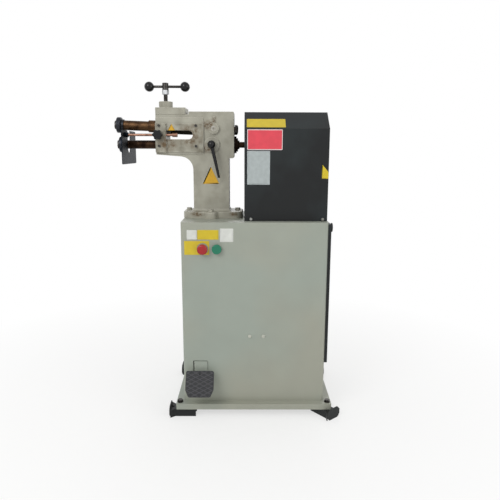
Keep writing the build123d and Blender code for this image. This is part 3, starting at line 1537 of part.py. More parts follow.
with BuildPart() as screw_locknut:
    hexagon(level(nut_foot, screw_x, shaft_y), screw_nut_flats, screw_nut_height)
    bar(level(nut_foot, screw_x, shaft_y), screw_diameter, screw_nut_height, Mode.SUBTRACT)
screw_locknut.part.label = "screw_locknut"
export_step(screw_locknut.part, "parts/screw_locknut.step")

with BuildPart() as tee_bar:
    bar(facing_right(tee_x - tee_bar_length / 2, shaft_y, tee_z), tee_bar_diameter, tee_bar_length)
tee_bar.part.label = "tee_bar"
export_step(tee_bar.part, "parts/tee_bar.step")

with BuildPart() as tee_balls:
    for side in (-1, 1):
        with Locations((tee_x + side * tee_bar_length / 2, shaft_y, tee_z)):
            Sphere(tee_ball_diameter / 2)
    tee_left = facing_right(tee_x - tee_bar_length / 2, shaft_y, tee_z)
    bar(tee_left, tee_bar_diameter, tee_bar_length, Mode.SUBTRACT)
tee_balls.part.label = "tee_balls"
export_step(tee_balls.part, "parts/tee_balls.step")

# ---------------------------------------------------------------- gauge and shift lever

with BuildPart() as gauge_rod:
    rod_start = gauge_plate_x - gauge_boss_length / 2
    bar(facing_right(rod_start, gauge_y, gauge_z), gauge_rod_diameter, rod_cap_left - rod_start)
    bar(facing_right(rod_cap_left, gauge_y, gauge_z), rod_cap_diameter, rod_cap_length)
gauge_rod.part.label = "gauge_rod"
export_step(gauge_rod.part, "parts/gauge_rod.step")

with BuildPart() as gauge_plate:
    gauge_top = lower_z + gauge_plate_top_rise
    gauge_bottom = lower_z - gauge_plate_bottom_drop
    notch_centre = lower_z - gauge_notch_drop + gauge_notch_width / 2
    with BuildSketch(facing_right(gauge_plate_x)):
        with Locations((shaft_y, (gauge_top + gauge_bottom) / 2)):
            RectangleRounded(gauge_plate_width, gauge_top - gauge_bottom, gauge_corner)
        with Locations((shaft_y, notch_centre)):
            Circle(gauge_notch_width / 2, mode=Mode.SUBTRACT)
        with Locations((shaft_y, (notch_centre + gauge_top + 1) / 2)):
            notch_height = gauge_top + 1 - notch_centre
            Rectangle(gauge_notch_width, notch_height, mode=Mode.SUBTRACT)
    extrude(amount=gauge_plate_thickness)
    plate_right = gauge_plate_x + gauge_plate_thickness
    bar(facing_right(plate_right, gauge_y, gauge_z), gauge_boss_diameter, gauge_boss_length)
    through = gauge_plate_thickness + gauge_boss_length
    bar(facing_right(gauge_plate_x, gauge_y, gauge_z), gauge_rod_diameter, through, Mode.SUBTRACT)
gauge_plate.part.label = "gauge_plate"
export_step(gauge_plate.part, "parts/gauge_plate.step")

with BuildPart() as clamp_knob:
    knob_foot = facing_front(cheek_front - clamp_knob_gap, clamp_knob_x, gauge_z)
    with BuildSketch(knob_foot):
        lobe_circle = (clamp_knob_diameter - clamp_lobe_diameter) / 2
        Circle(lobe_circle + clamp_lobe_diameter / 6)
        with PolarLocations(lobe_circle, clamp_knob_lobes):
            Circle(clamp_lobe_diameter / 2)
    extrude(amount=clamp_knob_thickness)
    chamfer(faces().sort_by(Axis.Y)[0].edges(), 1.5)
    stud_end = gauge_y - gauge_rod_diameter / 2 - clamp_stud_gap
    bar(knob_foot, clamp_stud_diameter, cheek_front - clamp_knob_gap - stud_end)
clamp_knob.part.label = "clamp_knob"
export_step(clamp_knob.part, "parts/clamp_knob.step")

with BuildPart() as shift_lever:
    ball_y = boss_front - lever_ball_gap - lever_ball_diameter / 2
    with Locations((lever_x, ball_y, lower_z)):
        Sphere(lever_ball_diameter / 2)
    lean = radians(lever_lean_deg)
    rod_line = Plane(
        origin=(lever_x, ball_y, lower_z), x_dir=(0, 1, 0), z_dir=(sin(lean), 0, -cos(lean))
    )
    with Locations(rod_line):
        Cone(
            bottom_radius=lever_rod_top / 2,
            top_radius=lever_rod_end / 2,
            height=lever_rod_length,
            align=(Align.CENTER, Align.CENTER, Align.MIN),
        )
    fillet(faces().sort_by(Axis.Z)[0].edges(), lever_rod_end / 5)
    lever_end = sleeve_front - side_play
    bar(facing_front(lever_end, lever_x, lower_z), lever_shaft_diameter, lever_end - ball_y)
    pin_end = facing_front(sleeve_front + lever_pin_reach, lever_x, lower_z + lever_pin_throw)
    bar(pin_end, lever_pin_diameter, lever_pin_reach + side_play)
shift_lever.part.label = "shift_lever"
export_step(shift_lever.part, "parts/shift_lever.step")

# ---------------------------------------------------------------- drive

stand_top = gearbox_bottom
motor_top = stand_top - stand_plate
motor_bottom = cabinet_top + motor_floor_gap
stand_left = motor_x - motor_diameter / 2 - stand_gap - stand_side
stand_right = motor_x + motor_diameter / 2 + stand_gap + stand_side
gearbox_front = shaft_y - gearbox_front_reach
gearbox_back = shaft_y + gearbox_rear_reach
stand_back = motor_y + motor_diameter / 2
gearbox_top = gearbox_bottom + gearbox_height
motor_hole = motor_shaft_diameter + 2 * bearing_fit
wheel_bore = wheel_hub_diameter + 2 * bearing_fit

with BuildPart() as gearbox_stand:
    block((stand_left, stand_right), (gearbox_front, stand_back), (motor_top, stand_top))
    for outside, inward in ((stand_left, 1), (stand_right, -1)):
        side_x = sorted((outside, outside + inward * stand_side))
        foot_span = sorted((outside, outside + inward * stand_foot))
        block(side_x, (gearbox_front, stand_back), (cabinet_top, motor_top))
        block(foot_span, (gearbox_front, stand_back), (cabinet_top, cabinet_top + stand_plate))
    bar(level(motor_top, motor_x, motor_y), motor_hole, stand_plate, Mode.SUBTRACT)
gearbox_stand.part.label = "gearbox_stand"
export_step(gearbox_stand.part, "parts/gearbox_stand.step")

with BuildPart() as gearbox_housing:
    block(
        (gearbox_left, gearbox_right),
        (gearbox_front, gearbox_back),
        (gearbox_bottom, gearbox_top),
        corner=6,
    )
    hub_start = across_lower(gearbox_left - gearbox_hub_length)
    hub_to_hub = gearbox_width + 2 * gearbox_hub_length
    bar(hub_start, gearbox_hub_diameter, hub_to_hub)
    block(
        (gearbox_left + gearbox_wall, gearbox_right - gearbox_wall),
        (gearbox_front + gearbox_wall, gearbox_back - gearbox_wall),
        (gearbox_bottom + gearbox_wall, gearbox_top - gearbox_wall),
        Mode.SUBTRACT,
    )
    bar(hub_start, wheel_bore, hub_to_hub, Mode.SUBTRACT)
    bar(level(gearbox_bottom, motor_x, motor_y), motor_hole, gearbox_wall, Mode.SUBTRACT)
gearbox_housing.part.label = "gearbox_housing"
export_step(gearbox_housing.part, "parts/gearbox_housing.step")

with BuildPart() as worm_wheel:
    wheel_start = gearbox_left - gearbox_hub_length + inner_gap
    wheel_length = hub_to_hub - 2 * inner_gap
    bar(across_lower(wheel_start), wheel_hub_diameter, wheel_length)
    bar(across_lower(motor_x - wheel_width / 2), wheel_diameter, wheel_width)
    bar(across_lower(wheel_start), rear_bore, wheel_length, Mode.SUBTRACT)
worm_wheel.part.label = "worm_wheel"
export_step(worm_wheel.part, "parts/worm_wheel.step")

with BuildPart() as motor_housing:
    bar(level(motor_bottom, motor_x, motor_y), motor_diameter, motor_top - motor_bottom)
    fillet(faces().sort_by(Axis.Z)[0].edges(), motor_wall)
    box_middle = (motor_bottom + motor_top) / 2
    block(
        (motor_x - terminal_box_size / 2, motor_x + terminal_box_size / 2),
        (motor_y, stand_back + terminal_box_depth),
        (box_middle - terminal_box_size / 2, box_middle + terminal_box_size / 2),
    )
    bar(
        level(motor_bottom + motor_flange_thickness, motor_x, motor_y),
        motor_diameter - 2 * motor_wall,
        motor_top - motor_bottom - 2 * motor_flange_thickness,
        Mode.SUBTRACT,
    )
    bar(
        level(motor_bottom + motor_flange_thickness / 2, motor_x, motor_y),
        motor_hole,
        motor_top - motor_bottom,
        Mode.SUBTRACT,
    )
motor_housing.part.label = "motor_housing"
export_step(motor_housing.part, "parts/motor_housing.step")

with BuildPart() as motor_rotor:
    shaft_foot = motor_bottom + motor_flange_thickness / 2 + inner_gap
    shaft_top = lower_z + worm_length / 2 + motor_flange_thickness
    bar(level(shaft_foot, motor_x, motor_y), motor_shaft_diameter, shaft_top - shaft_foot)
    bar(level(lower_z - worm_length / 2, motor_x, motor_y), worm_diameter, worm_length)
    rotor_foot = motor_top - 2 * motor_flange_thickness - rotor_length
    bar(level(rotor_foot, motor_x, motor_y), rotor_diameter, rotor_length)
    fan_foot = motor_bottom + motor_flange_thickness + inner_gap
    bar(level(fan_foot, motor_x, motor_y), rotor_diameter / 2, fan_height)
    with BuildSketch(level(fan_foot, motor_x, motor_y)):
        with PolarLocations(fan_diameter / 4, fan_blades):
            Rectangle(fan_diameter / 2, fan_blade)
    extrude(amount=fan_height)
motor_rotor.part.label = "motor_rotor"
export_step(motor_rotor.part, "parts/motor_rotor.step")

with BuildPart() as motor_cover:
    for inset, mode in ((0, Mode.ADD), (cover_sheet, Mode.SUBTRACT)):
        slope = cover_slope_depth / (cover_height - cover_fold_height)
        slope_in = inset * (sqrt(1 + slope**2) - slope)
        with BuildSketch(facing_right(cover_left + inset)) as section:
            with BuildLine():
                Polyline(
                    (cover_front + inset, cabinet_top),
                    (cover_front + inset, cabinet_top + cover_fold_height - slope_in / slope),
                    (cover_front + cover_slope_depth + slope_in, cabinet_top + cover_height - inset),
                    (cover_back - inset, cabinet_top + cover_height - inset),
                    (cover_back - inset, cabinet_top),
                    close=True,
                )
            make_face()
        extrude(section.sketch, amount=cover_right - cover_left - 2 * inset, mode=mode)
    shaft_hole = across_lower(cover_left)
    bar(shaft_hole, cover_shaft_hole, cover_sheet, Mode.SUBTRACT)
    with BuildSketch(facing_back(cover_back)) as vents:
        vent_middle = cabinet_top + cover_vent_rise + vent_pitch * cover_vent_count / 2
        with Locations((-(cover_left + cover_right) / 2, vent_middle)):
            with GridLocations(0, vent_pitch, 1, cover_vent_count):
                SlotOverall(vent_length, vent_height)
    extrude(vents.sketch, amount=-cover_sheet, mode=Mode.SUBTRACT)
    for x in cover_screw_x:
        screw_line = facing_front(cover_front, x, cabinet_top + cover_screw_rise)
        bar(screw_line, panel_hole_diameter, cover_front - cover_back, Mode.SUBTRACT)
motor_cover.part.label = "motor_cover"
export_step(motor_cover.part, "parts/motor_cover.step")

with BuildPart() as panel_screws:
    for x, z in rear_screw_places:
        rear_seat = facing_back(cabinet_back + rear_panel_sheet, x, z)
        panel_screw(rear_seat, rear_panel_sheet + cabinet_sheet)
    for x, z in switchgear_bolt_places:
        panel_screw(facing_front(cabinet_front, x, z), cabinet_sheet + switchgear_sheet)
    for x in cover_screw_x:
        screw_z = cabinet_top + cover_screw_rise
        panel_screw(facing_front(cover_front, x, screw_z), cover_sheet + cover_rail_thickness)
        panel_screw(facing_back(cover_back, x, screw_z), cover_sheet + cover_rail_thickness)
panel_screws.part.label = "panel_screws"
export_step(panel_screws.part, "parts/panel_screws.step")
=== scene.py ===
"""Finish, small trim and studio stage for the motor driven sheet metal crimper.

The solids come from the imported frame. The operators give each of them the finish that
the real one has, add the bare plates stuck and riveted on the machine and its small
screws, and set a white studio round it.
"""

from math import cos, pi, radians, sin

import bmesh
import bpy
from mathutils import Matrix, Vector


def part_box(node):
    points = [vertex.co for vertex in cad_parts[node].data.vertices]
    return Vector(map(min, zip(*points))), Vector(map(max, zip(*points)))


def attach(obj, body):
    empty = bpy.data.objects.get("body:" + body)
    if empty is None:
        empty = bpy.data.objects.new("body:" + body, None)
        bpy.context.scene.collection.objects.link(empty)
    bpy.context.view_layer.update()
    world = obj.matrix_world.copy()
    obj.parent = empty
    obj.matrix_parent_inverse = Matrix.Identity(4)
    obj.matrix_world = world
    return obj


bl_info = {
    "name": "Sheet metal crimper finish",
    "version": (1, 0, 0),
    "blender": (4, 5, 0),
    "location": "3D View > Sidebar > Crimper",
    "description": "Finishes, blank plates, small screws and stage for a sheet metal crimper",
    "category": "Object",
}

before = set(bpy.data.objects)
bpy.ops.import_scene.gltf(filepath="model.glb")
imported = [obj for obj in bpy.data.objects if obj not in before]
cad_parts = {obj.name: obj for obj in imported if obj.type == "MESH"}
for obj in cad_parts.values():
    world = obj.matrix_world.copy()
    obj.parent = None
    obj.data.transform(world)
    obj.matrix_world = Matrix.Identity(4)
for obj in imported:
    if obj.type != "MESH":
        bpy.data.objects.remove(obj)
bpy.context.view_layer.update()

MM = 0.001

COVER_FOLD = 1.147  # height of the crease below the motor cover's slope
COVER_SLOPE_DEPTH = 80 * MM
SLOPE_PLATE = (148 * MM, 52 * MM)
RED_PLATE = (134 * MM, 76 * MM)
ALUMINIUM_PLATE = (87 * MM, 128 * MM)
RIVET_INSET = 4 * MM  # from the aluminium plate's edges
RIVET_RADIUS = 1.5 * MM
RIVET_HEIGHT = 0.8 * MM
COLUMN_FRONT = -29 * MM
GUIDE_FIELD = -36 * MM  # front of the side guide plate
STOP_PLATE = (97 * MM, 54.5 * MM)
STOP_HOLE = (22.5 * MM, -3.25 * MM)  # middle of its hole, from the plate's middle
STOP_HOLE_RADIUS = 22.5 * MM
HOLE_STEPS = 48
SCREW_CAP_HEIGHT = 334 * MM  # above the floor
TREAD_SLOPE = 54.46  # degrees from the floor
TREAD_MIDDLE = (-0.112, -0.219, 0.152)
TREAD_PAD = 6 * MM  # from the tread's middle plane to the rubber between its ribs
TREAD_SCREW_RISE = 37 * MM  # from the middle of the tread, up its slope


# ------------------------------------------------------------------ what a user would change


class CrimperPaints(bpy.types.PropertyGroup):
    """Colours of the painted, moulded and bare surfaces, as sRGB hex values."""

    cabinet: bpy.props.StringProperty(
        name="Cabinet enamel",
        description="Grey-green beige of the sheet metal cabinet and tray",
        default="#9A9F93",
    )
    casting: bpy.props.StringProperty(
        name="Casting enamel",
        description="Warm grey beige of the cast head and column",
        default="#A4A294",
    )
    cover: bpy.props.StringProperty(
        name="Cover powder coat",
        description="Near black of the motor cover and side panel",
        default="#191B1C",
    )
    upper_shaft: bpy.props.StringProperty(
        name="Upper shaft",
        description="Copper brown of the oiled upper shaft",
        default="#5E4630",
    )
    lower_shaft: bpy.props.StringProperty(
        name="Lower shaft",
        description="Dark brown of the oiled lower shaft",
        default="#3C2C20",
    )
    roll: bpy.props.StringProperty(
        name="Rolls",
        description="Dark grey of the hardened rolls",
        default="#3A3C40",
    )
    gauge: bpy.props.StringProperty(
        name="Gauge plate",
        description="Blue grey of the blued gauge plate",
        default="#1B222B",
    )
    yellow_film: bpy.props.StringProperty(
        name="Yellow plates",
        description="Yellow of the blank film plates",
        default="#CDB51A",
    )
    red_film: bpy.props.StringProperty(
        name="Red plate",
        description="Red of the blank film plate on the cover",
        default="#D9404F",
    )
    stop_red: bpy.props.StringProperty(
        name="Stop button",
        description="Red of the mushroom stop button",
        default="#A0181C",
    )
    start_green: bpy.props.StringProperty(
        name="Start button",
        description="Green of the start button",
        default="#147458",
    )
    tread: bpy.props.StringProperty(
        name="Pedal rubber",
        description="Dark grey of the pedal's ribbed rubber",
        default="#232428",
    )


class CrimperPlates(bpy.types.PropertyGroup):
    """Sizes of the blank plates and films."""

    film: bpy.props.FloatProperty(
        name="Film thickness",
        description="Thickness of the self-adhesive plates",
        default=0.5 * MM,
        min=0.1 * MM,
        max=2 * MM,
        unit="LENGTH",
    )
    sheet: bpy.props.FloatProperty(
        name="Riveted plate thickness",
        description="Thickness of the aluminium plate",
        default=0.8 * MM,
        min=0.2 * MM,
        max=3 * MM,
        unit="LENGTH",
    )
    corner: bpy.props.FloatProperty(
        name="Corner radius",
        description="Rounding of the plates' corners",
        default=2.5 * MM,
        min=0.5 * MM,
        max=10 * MM,
        unit="LENGTH",
    )
    border: bpy.props.FloatProperty(
        name="Border",
        description="Distance of a plate's raised field from its edge",
        default=2.6 * MM,
        min=0.5 * MM,
        max=10 * MM,
        unit="LENGTH",
    )


class CrimperTrim(bpy.types.PropertyGroup):
    """Sizes of the small screws that the cabinet and the pedal carry."""

    cap_diameter: bpy.props.FloatProperty(
        name="Screw cap diameter",
        description="Across the domed caps over the switchgear's screws",
        default=15 * MM,
        min=6 * MM,
        max=30 * MM,
        unit="LENGTH",
    )
    cap_height: bpy.props.FloatProperty(
        name="Screw cap height",
        description="How far the domed caps stand out",
        default=6 * MM,
        min=1 * MM,
        max=12 * MM,
        unit="LENGTH",
    )
    tread_screw: bpy.props.FloatProperty(
        name="Tread screw diameter",
        description="Across the round head of the screw at the top of the pedal's tread",
        default=7 * MM,
        min=3 * MM,
        max=14 * MM,
        unit="LENGTH",
    )


class CrimperStage(bpy.types.PropertyGroup):
    """Camera, floor and lamps."""

    camera_place: bpy.props.FloatVectorProperty(
        name="Camera place",
        description="Where the camera stands",
        default=(0.0760, -2.0701, 1.0596),
        subtype="TRANSLATION",
        unit="LENGTH",
    )
    pitch: bpy.props.FloatProperty(
        name="Pitch",
        description="How far the camera looks down",
        default=radians(11.096),
        subtype="ANGLE",
    )
    yaw: bpy.props.FloatProperty(
        name="Yaw",
        description="How far the camera looks to the right",
        default=radians(0.318),
        subtype="ANGLE",
    )
    roll: bpy.props.FloatProperty(
        name="Roll",
        description="How far the camera leans",
        default=radians(0.198),
        subtype="ANGLE",
    )
    lens: bpy.props.FloatProperty(
        name="Lens",
        description="Focal length on a 36 mm wide sensor",
        default=36.03,
        min=10,
        max=200,
    )
    floor_size: bpy.props.FloatProperty(
        name="Floor",
        description="Side of the square floor",
        default=12.0,
        min=3,
        max=40,
        unit="LENGTH",
    )
    ambient: bpy.props.FloatProperty(
        name="Ambient light",
        description="Strength of the light that comes from all round",
        default=0.56,
        min=0,
        max=2,
    )
    key_power: bpy.props.FloatProperty(
        name="Key lamp",
        description="Power of the large lamp at the front left",
        default=40.0,
        min=0,
        max=500,
        unit="POWER",
    )
    fill_power: bpy.props.FloatProperty(
        name="Fill lamp",
        description="Power of the lamp at the right",
        default=17.0,
        min=0,
        max=500,
        unit="POWER",
    )


# ------------------------------------------------------------------ helpers


def linear(hex_colour):
    """An sRGB hex colour as the linear values that a shader takes."""
    channels = [int(hex_colour[i : i + 2], 16) / 255 for i in (1, 3, 5)]
    return tuple(
        c / 12.92 if c <= 0.04045 else ((c + 0.055) / 1.055) ** 2.4 for c in channels
    ) + (1.0,)


def per(millimetres):
    """Scale of a pattern on Object coordinates whose grains are this far apart."""
    return 1000 / millimetres


def node(material, kind, settings=None, values=None, links=None):
    """Adds a node with its settings, its fixed values and what feeds its inputs."""
    made = material.node_tree.nodes.new(kind)
    for name, value in (settings or {}).items():
        setattr(made, name, value)
    for socket, value in (values or {}).items():
        made.inputs[socket].default_value = value
    for socket, source in (links or {}).items():
        material.node_tree.links.new(source, made.inputs[socket])
    return made


def new_material(name):
    """A material with nothing in it but its output, and the Object coordinates."""
    material = bpy.data.materials.new(name)
    material.use_nodes = True
    material.node_tree.nodes.clear()
    output = node(material, "ShaderNodeOutputMaterial")
    place = node(material, "ShaderNodeTexCoord").outputs["Object"]
    return material, output, place


def shade(material, output, values, links):
    """Ends a material in one Principled surface."""
    surface = node(material, "ShaderNodeBsdfPrincipled", values=values, links=links)
    material.node_tree.links.new(surface.outputs["BSDF"], output.inputs["Surface"])
    return material


def dress(names, material):
    """Gives CAD nodes a material in every slot of their meshes."""
    for name in names:
        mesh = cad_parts[name].data
        if not mesh.materials:
            mesh.materials.append(material)
        for index in range(len(mesh.materials)):
            mesh.materials[index] = material


def piece(name, shape, materials, body):
    """Makes a finished bmesh an object that rides on a CAD body."""
    bmesh.ops.recalc_face_normals(shape, faces=shape.faces)
    mesh = bpy.data.meshes.new(name)
    shape.to_mesh(mesh)
    shape.free()
    for material in materials:
        mesh.materials.append(material)
    made = bpy.data.objects.new(name, mesh)
    bpy.context.scene.collection.objects.link(made)
    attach(made, body)
    return made


def on_face(origin, right, up):
    """Matrix that lays a shape drawn in X and Y on a face, with Z out of the face."""
    right = Vector(right).normalized()
    out = right.cross(Vector(up)).normalized()
    upright = out.cross(right)
    turn = Matrix((right, upright, out)).transposed().to_4x4()
    return Matrix.Translation(Vector(origin)) @ turn


def rounded_plate(shape, corners, radius, thickness, border, field_index):
    """A thin plate with rounded corners, a softened edge and a slightly raised field."""
    outline = [shape.verts.new((x, y, 0)) for x, y in corners]
    shape.faces.new(outline)
    bmesh.ops.bevel(
        shape,
        geom=outline,
        offset=radius,
        offset_type="OFFSET",
        segments=5,
        profile=0.5,
        affect="VERTICES",
        material=-1,
    )
    face = max(shape.faces, key=lambda f: f.calc_area())
    grown = bmesh.ops.extrude_face_region(shape, geom=[face])
    risen = [v for v in grown["geom"] if isinstance(v, bmesh.types.BMVert)]
    bmesh.ops.translate(shape, verts=risen, vec=(0, 0, thickness))
    top = next(f for f in grown["geom"] if isinstance(f, bmesh.types.BMFace))
    bmesh.ops.bevel(
        shape,
        geom=list(top.edges),
        offset=thickness * 0.3,
        offset_type="OFFSET",
        segments=2,
        profile=0.5,
        affect="EDGES",
        material=-1,
    )
    top = max(
        (f for f in shape.faces if f.normal.length and abs(f.normal.z) > 0.9),
        key=lambda f: f.calc_center_median().z * 1000 + f.calc_area(),
    )
    bmesh.ops.inset_region(shape, faces=[top], thickness=border, depth=0)
    bmesh.ops.inset_region(shape, faces=[top], thickness=0.15 * MM, depth=0.08 * MM)
    top.material_index = field_index
    return top


def rectangle(width, height):
    """Corners of a rectangle round its middle."""
    return [
        (-width / 2, -height / 2),
        (width / 2, -height / 2),
        (width / 2, height / 2),
        (-width / 2, height / 2),
    ]


def ringed_plate(shape, size, hole, hole_radius, plates):
    """A thin plate with square corners and a round hole, placed from the plate's middle."""
    width, height = size
    steps = HOLE_STEPS
    ring = [
        (hole[0] + hole_radius * cos(2 * pi * i / steps),
         hole[1] + hole_radius * sin(2 * pi * i / steps))
        for i in range(steps)
    ]
    sides = [
        (max(-width / 2, min(width / 2, hole[0] + width * 2 * cos(2 * pi * i / steps))),
         max(-height / 2, min(height / 2, hole[1] + width * 2 * sin(2 * pi * i / steps))))
        for i in range(steps)
    ]
    inner = [shape.verts.new((x, y, 0)) for x, y in ring]
    outer = [shape.verts.new((x, y, 0)) for x, y in sides]
    for i in range(steps):
        j = (i + 1) % steps
        corners = [inner[i], outer[i], outer[j], inner[j]]
        shape.faces.new(corners)
    bmesh.ops.remove_doubles(shape, verts=outer, dist=0.01 * MM)
    grown = bmesh.ops.extrude_face_region(shape, geom=list(shape.faces))
    risen = [v for v in grown["geom"] if isinstance(v, bmesh.types.BMVert)]
    bmesh.ops.translate(shape, verts=risen, vec=(0, 0, plates.film))


def rivet(shape, x, y, foot, radius, height):
    """Domed rivet head, spun from its profile."""
    profile = [shape.verts.new((x + radius * cos(a), y, foot + height * sin(a)))
               for a in (0, pi / 8, pi / 4, 3 * pi / 8)]
    profile.append(shape.verts.new((x, y, foot + height)))
    edges = [shape.edges.new(pair) for pair in zip(profile, profile[1:])]
    bmesh.ops.spin(
        shape,
        geom=profile + edges,
        cent=(x, y, 0),
        axis=(0, 0, 1),
        angle=2 * pi,
        steps=16,
        use_merge=True,
    )


# ------------------------------------------------------------------ finishes


def cabinet_enamel(colour):
    """Stoving enamel sprayed on sheet steel: even, with a fine orange peel and soft clouds."""
    material, output, place = new_material("stoved_enamel_on_sheet_steel")
    # the paint drifts between a cool and a warm grey over some 400 mm
    drift = node(material, "ShaderNodeTexNoise", values={"Scale": per(400), "Detail": 2.0},
                 links={"Vector": place}).outputs["Fac"]
    warmth = node(material, "ShaderNodeMapRange",
                  values={"From Min": 0.38, "From Max": 0.62, "To Min": 0.0, "To Max": 1.0},
                  links={"Value": drift}).outputs["Result"]
    drifted = node(material, "ShaderNodeMix", {"data_type": "RGBA"},
                   values={6: linear("#98A299"), 7: linear("#9E9D8F")},
                   links={0: warmth}).outputs[2]
    ground = node(material, "ShaderNodeMix", {"data_type": "RGBA"},
                  values={0: 0.6, 6: linear(colour)}, links={7: drifted}).outputs[2]
    cloud = node(material, "ShaderNodeTexNoise", values={"Scale": per(120), "Detail": 3.0},
                 links={"Vector": place}).outputs["Fac"]
    tone = node(material, "ShaderNodeMapRange",
                values={"From Min": 0.3, "From Max": 0.7, "To Min": 0.97, "To Max": 1.03},
                links={"Value": cloud}).outputs["Result"]
    paint = node(material, "ShaderNodeHueSaturation", links={"Value": tone, "Color": ground}
                 ).outputs["Color"]
    # real peel is about 1.5 mm; it is drawn at 3 mm so that it shows in the gloss
    peel = node(material, "ShaderNodeTexNoise", values={"Scale": per(3), "Detail": 1.0},
                links={"Vector": place}).outputs["Fac"]
    grain = node(material, "ShaderNodeBump", values={"Strength": 0.18, "Distance": 0.15 * MM},
                 links={"Height": peel}).outputs["Normal"]
    rough = node(material, "ShaderNodeMapRange",
                 values={"From Min": 0.3, "From Max": 0.7, "To Min": 0.38, "To Max": 0.50},
                 links={"Value": cloud}).outputs["Result"]
    return shade(material, output, {"IOR": 1.5},
                 {"Base Color": paint, "Roughness": rough, "Normal": grain})


def brown_spot_share(material, place, spots):
    """Share of brown at each point: 1 in the middle of a spot, 0 outside its half axes."""
    total = None
    for x, z, half_width, half_height in spots:
        away = node(material, "ShaderNodeVectorMath", {"operation": "SUBTRACT"},
                    values={1: (x * MM, 0.0, z * MM)}, links={0: place}).outputs["Vector"]
        shrunk = node(material, "ShaderNodeVectorMath", {"operation": "MULTIPLY"},
                      values={1: (per(half_width), 0.0, per(half_height))},
                      links={0: away}).outputs["Vector"]
        reach = node(material, "ShaderNodeVectorMath", {"operation": "LENGTH"},
                     links={0: shrunk}).outputs["Value"]
        share = node(material, "ShaderNodeMapRange",
                     values={"From Min": 1.0, "From Max": 0.35, "To Min": 0.0, "To Max": 1.0},
                     links={"Value": reach}).outputs["Result"]
        if total is None:
            total = share
        else:
            total = node(material, "ShaderNodeMath", {"operation": "MAXIMUM"},
                         links={0: total, 1: share}).outputs["Value"]
    return total


def casting_enamel(name, colour, spots, soil):
    """Brushed-on enamel over a rough casting: pebbled, with a painted highlight along its edges
    and brown at its spots, which on the head are painted brown reflections and shade.
    """
    material, output, place = new_material(name)
    cloud = node(material, "ShaderNodeTexNoise", values={"Scale": per(60), "Detail": 4.0},
                 links={"Vector": place}).outputs["Fac"]
    tone = node(material, "ShaderNodeMapRange",
                values={"From Min": 0.3, "From Max": 0.7, "To Min": 0.91, "To Max": 1.06},
                links={"Value": cloud}).outputs["Result"]
    paint = node(material, "ShaderNodeHueSaturation", values={"Color": linear(colour)},
                 links={"Value": tone}).outputs["Color"]
    # handling leaves an even grey-brown film in patches some 45 mm wide
    patch = node(material, "ShaderNodeTexNoise", values={"Scale": per(45), "Detail": 5.0},
                 links={"Vector": place}).outputs["Fac"]
    film = node(material, "ShaderNodeMapRange",
                values={"From Min": 0.42, "From Max": 0.66, "To Min": 0.0, "To Max": soil},
                links={"Value": patch}).outputs["Result"]
    handled = node(material, "ShaderNodeMix", {"data_type": "RGBA"},
                   values={7: linear("#6A6454")}, links={0: film, 6: paint}).outputs[2]
    # brown at the listed spots, broken up at about 14 mm: painted brown reflections and shade
    # round the bosses and above the flange of the head, darker brown patches on the guide plate
    grains = node(material, "ShaderNodeTexNoise", values={"Scale": per(14), "Detail": 5.0},
                  links={"Vector": place}).outputs["Fac"]
    broken = node(material, "ShaderNodeMapRange",
                  values={"From Min": 0.34, "From Max": 0.62, "To Min": 0.15, "To Max": 1.0},
                  links={"Value": grains}).outputs["Result"]
    brown_share = node(material, "ShaderNodeMath", {"operation": "MULTIPLY"},
               links={0: brown_spot_share(material, place, spots), 1: broken}).outputs["Value"]
    brown_mixed = node(material, "ShaderNodeMix", {"data_type": "RGBA"},
                 values={7: linear("#5A4527")},
                 links={0: brown_share, 6: handled}).outputs[2]
    # painted highlight along the edges, 2 mm wide, pale where the bevelled normal turns away
    edge_normal = node(material, "ShaderNodeBevel", {"samples": 6},
                       values={"Radius": 2.0 * MM}).outputs["Normal"]
    flat_normal = node(material, "ShaderNodeNewGeometry").outputs["Normal"]
    agree = node(material, "ShaderNodeVectorMath", {"operation": "DOT_PRODUCT"},
                 links={0: edge_normal, 1: flat_normal}).outputs["Value"]
    edge = node(material, "ShaderNodeMapRange",
                values={"From Min": 0.995, "From Max": 0.88, "To Min": 0.0, "To Max": 0.65},
                links={"Value": agree}).outputs["Result"]
    edge_lit = node(material, "ShaderNodeMix", {"data_type": "RGBA"},
                values={7: linear("#D9D4C6")},
                links={0: edge, 6: brown_mixed}).outputs[2]
    # cast skin under the paint: pebbles of 3 to 4 mm
    pebbles = node(material, "ShaderNodeTexNoise", values={"Scale": per(3.5), "Detail": 2.0},
                   links={"Vector": place}).outputs["Fac"]
    skin = node(material, "ShaderNodeBump", values={"Strength": 0.35, "Distance": 0.5 * MM},
                links={"Height": pebbles, "Normal": edge_normal}).outputs["Normal"]
    rough = node(material, "ShaderNodeMapRange",
                 values={"From Min": 0.0, "From Max": 0.7, "To Min": 0.42, "To Max": 0.24},
                 links={"Value": brown_share}).outputs["Result"]
    return shade(material, output, {"IOR": 1.5},
                 {"Base Color": edge_lit, "Roughness": rough, "Normal": skin})


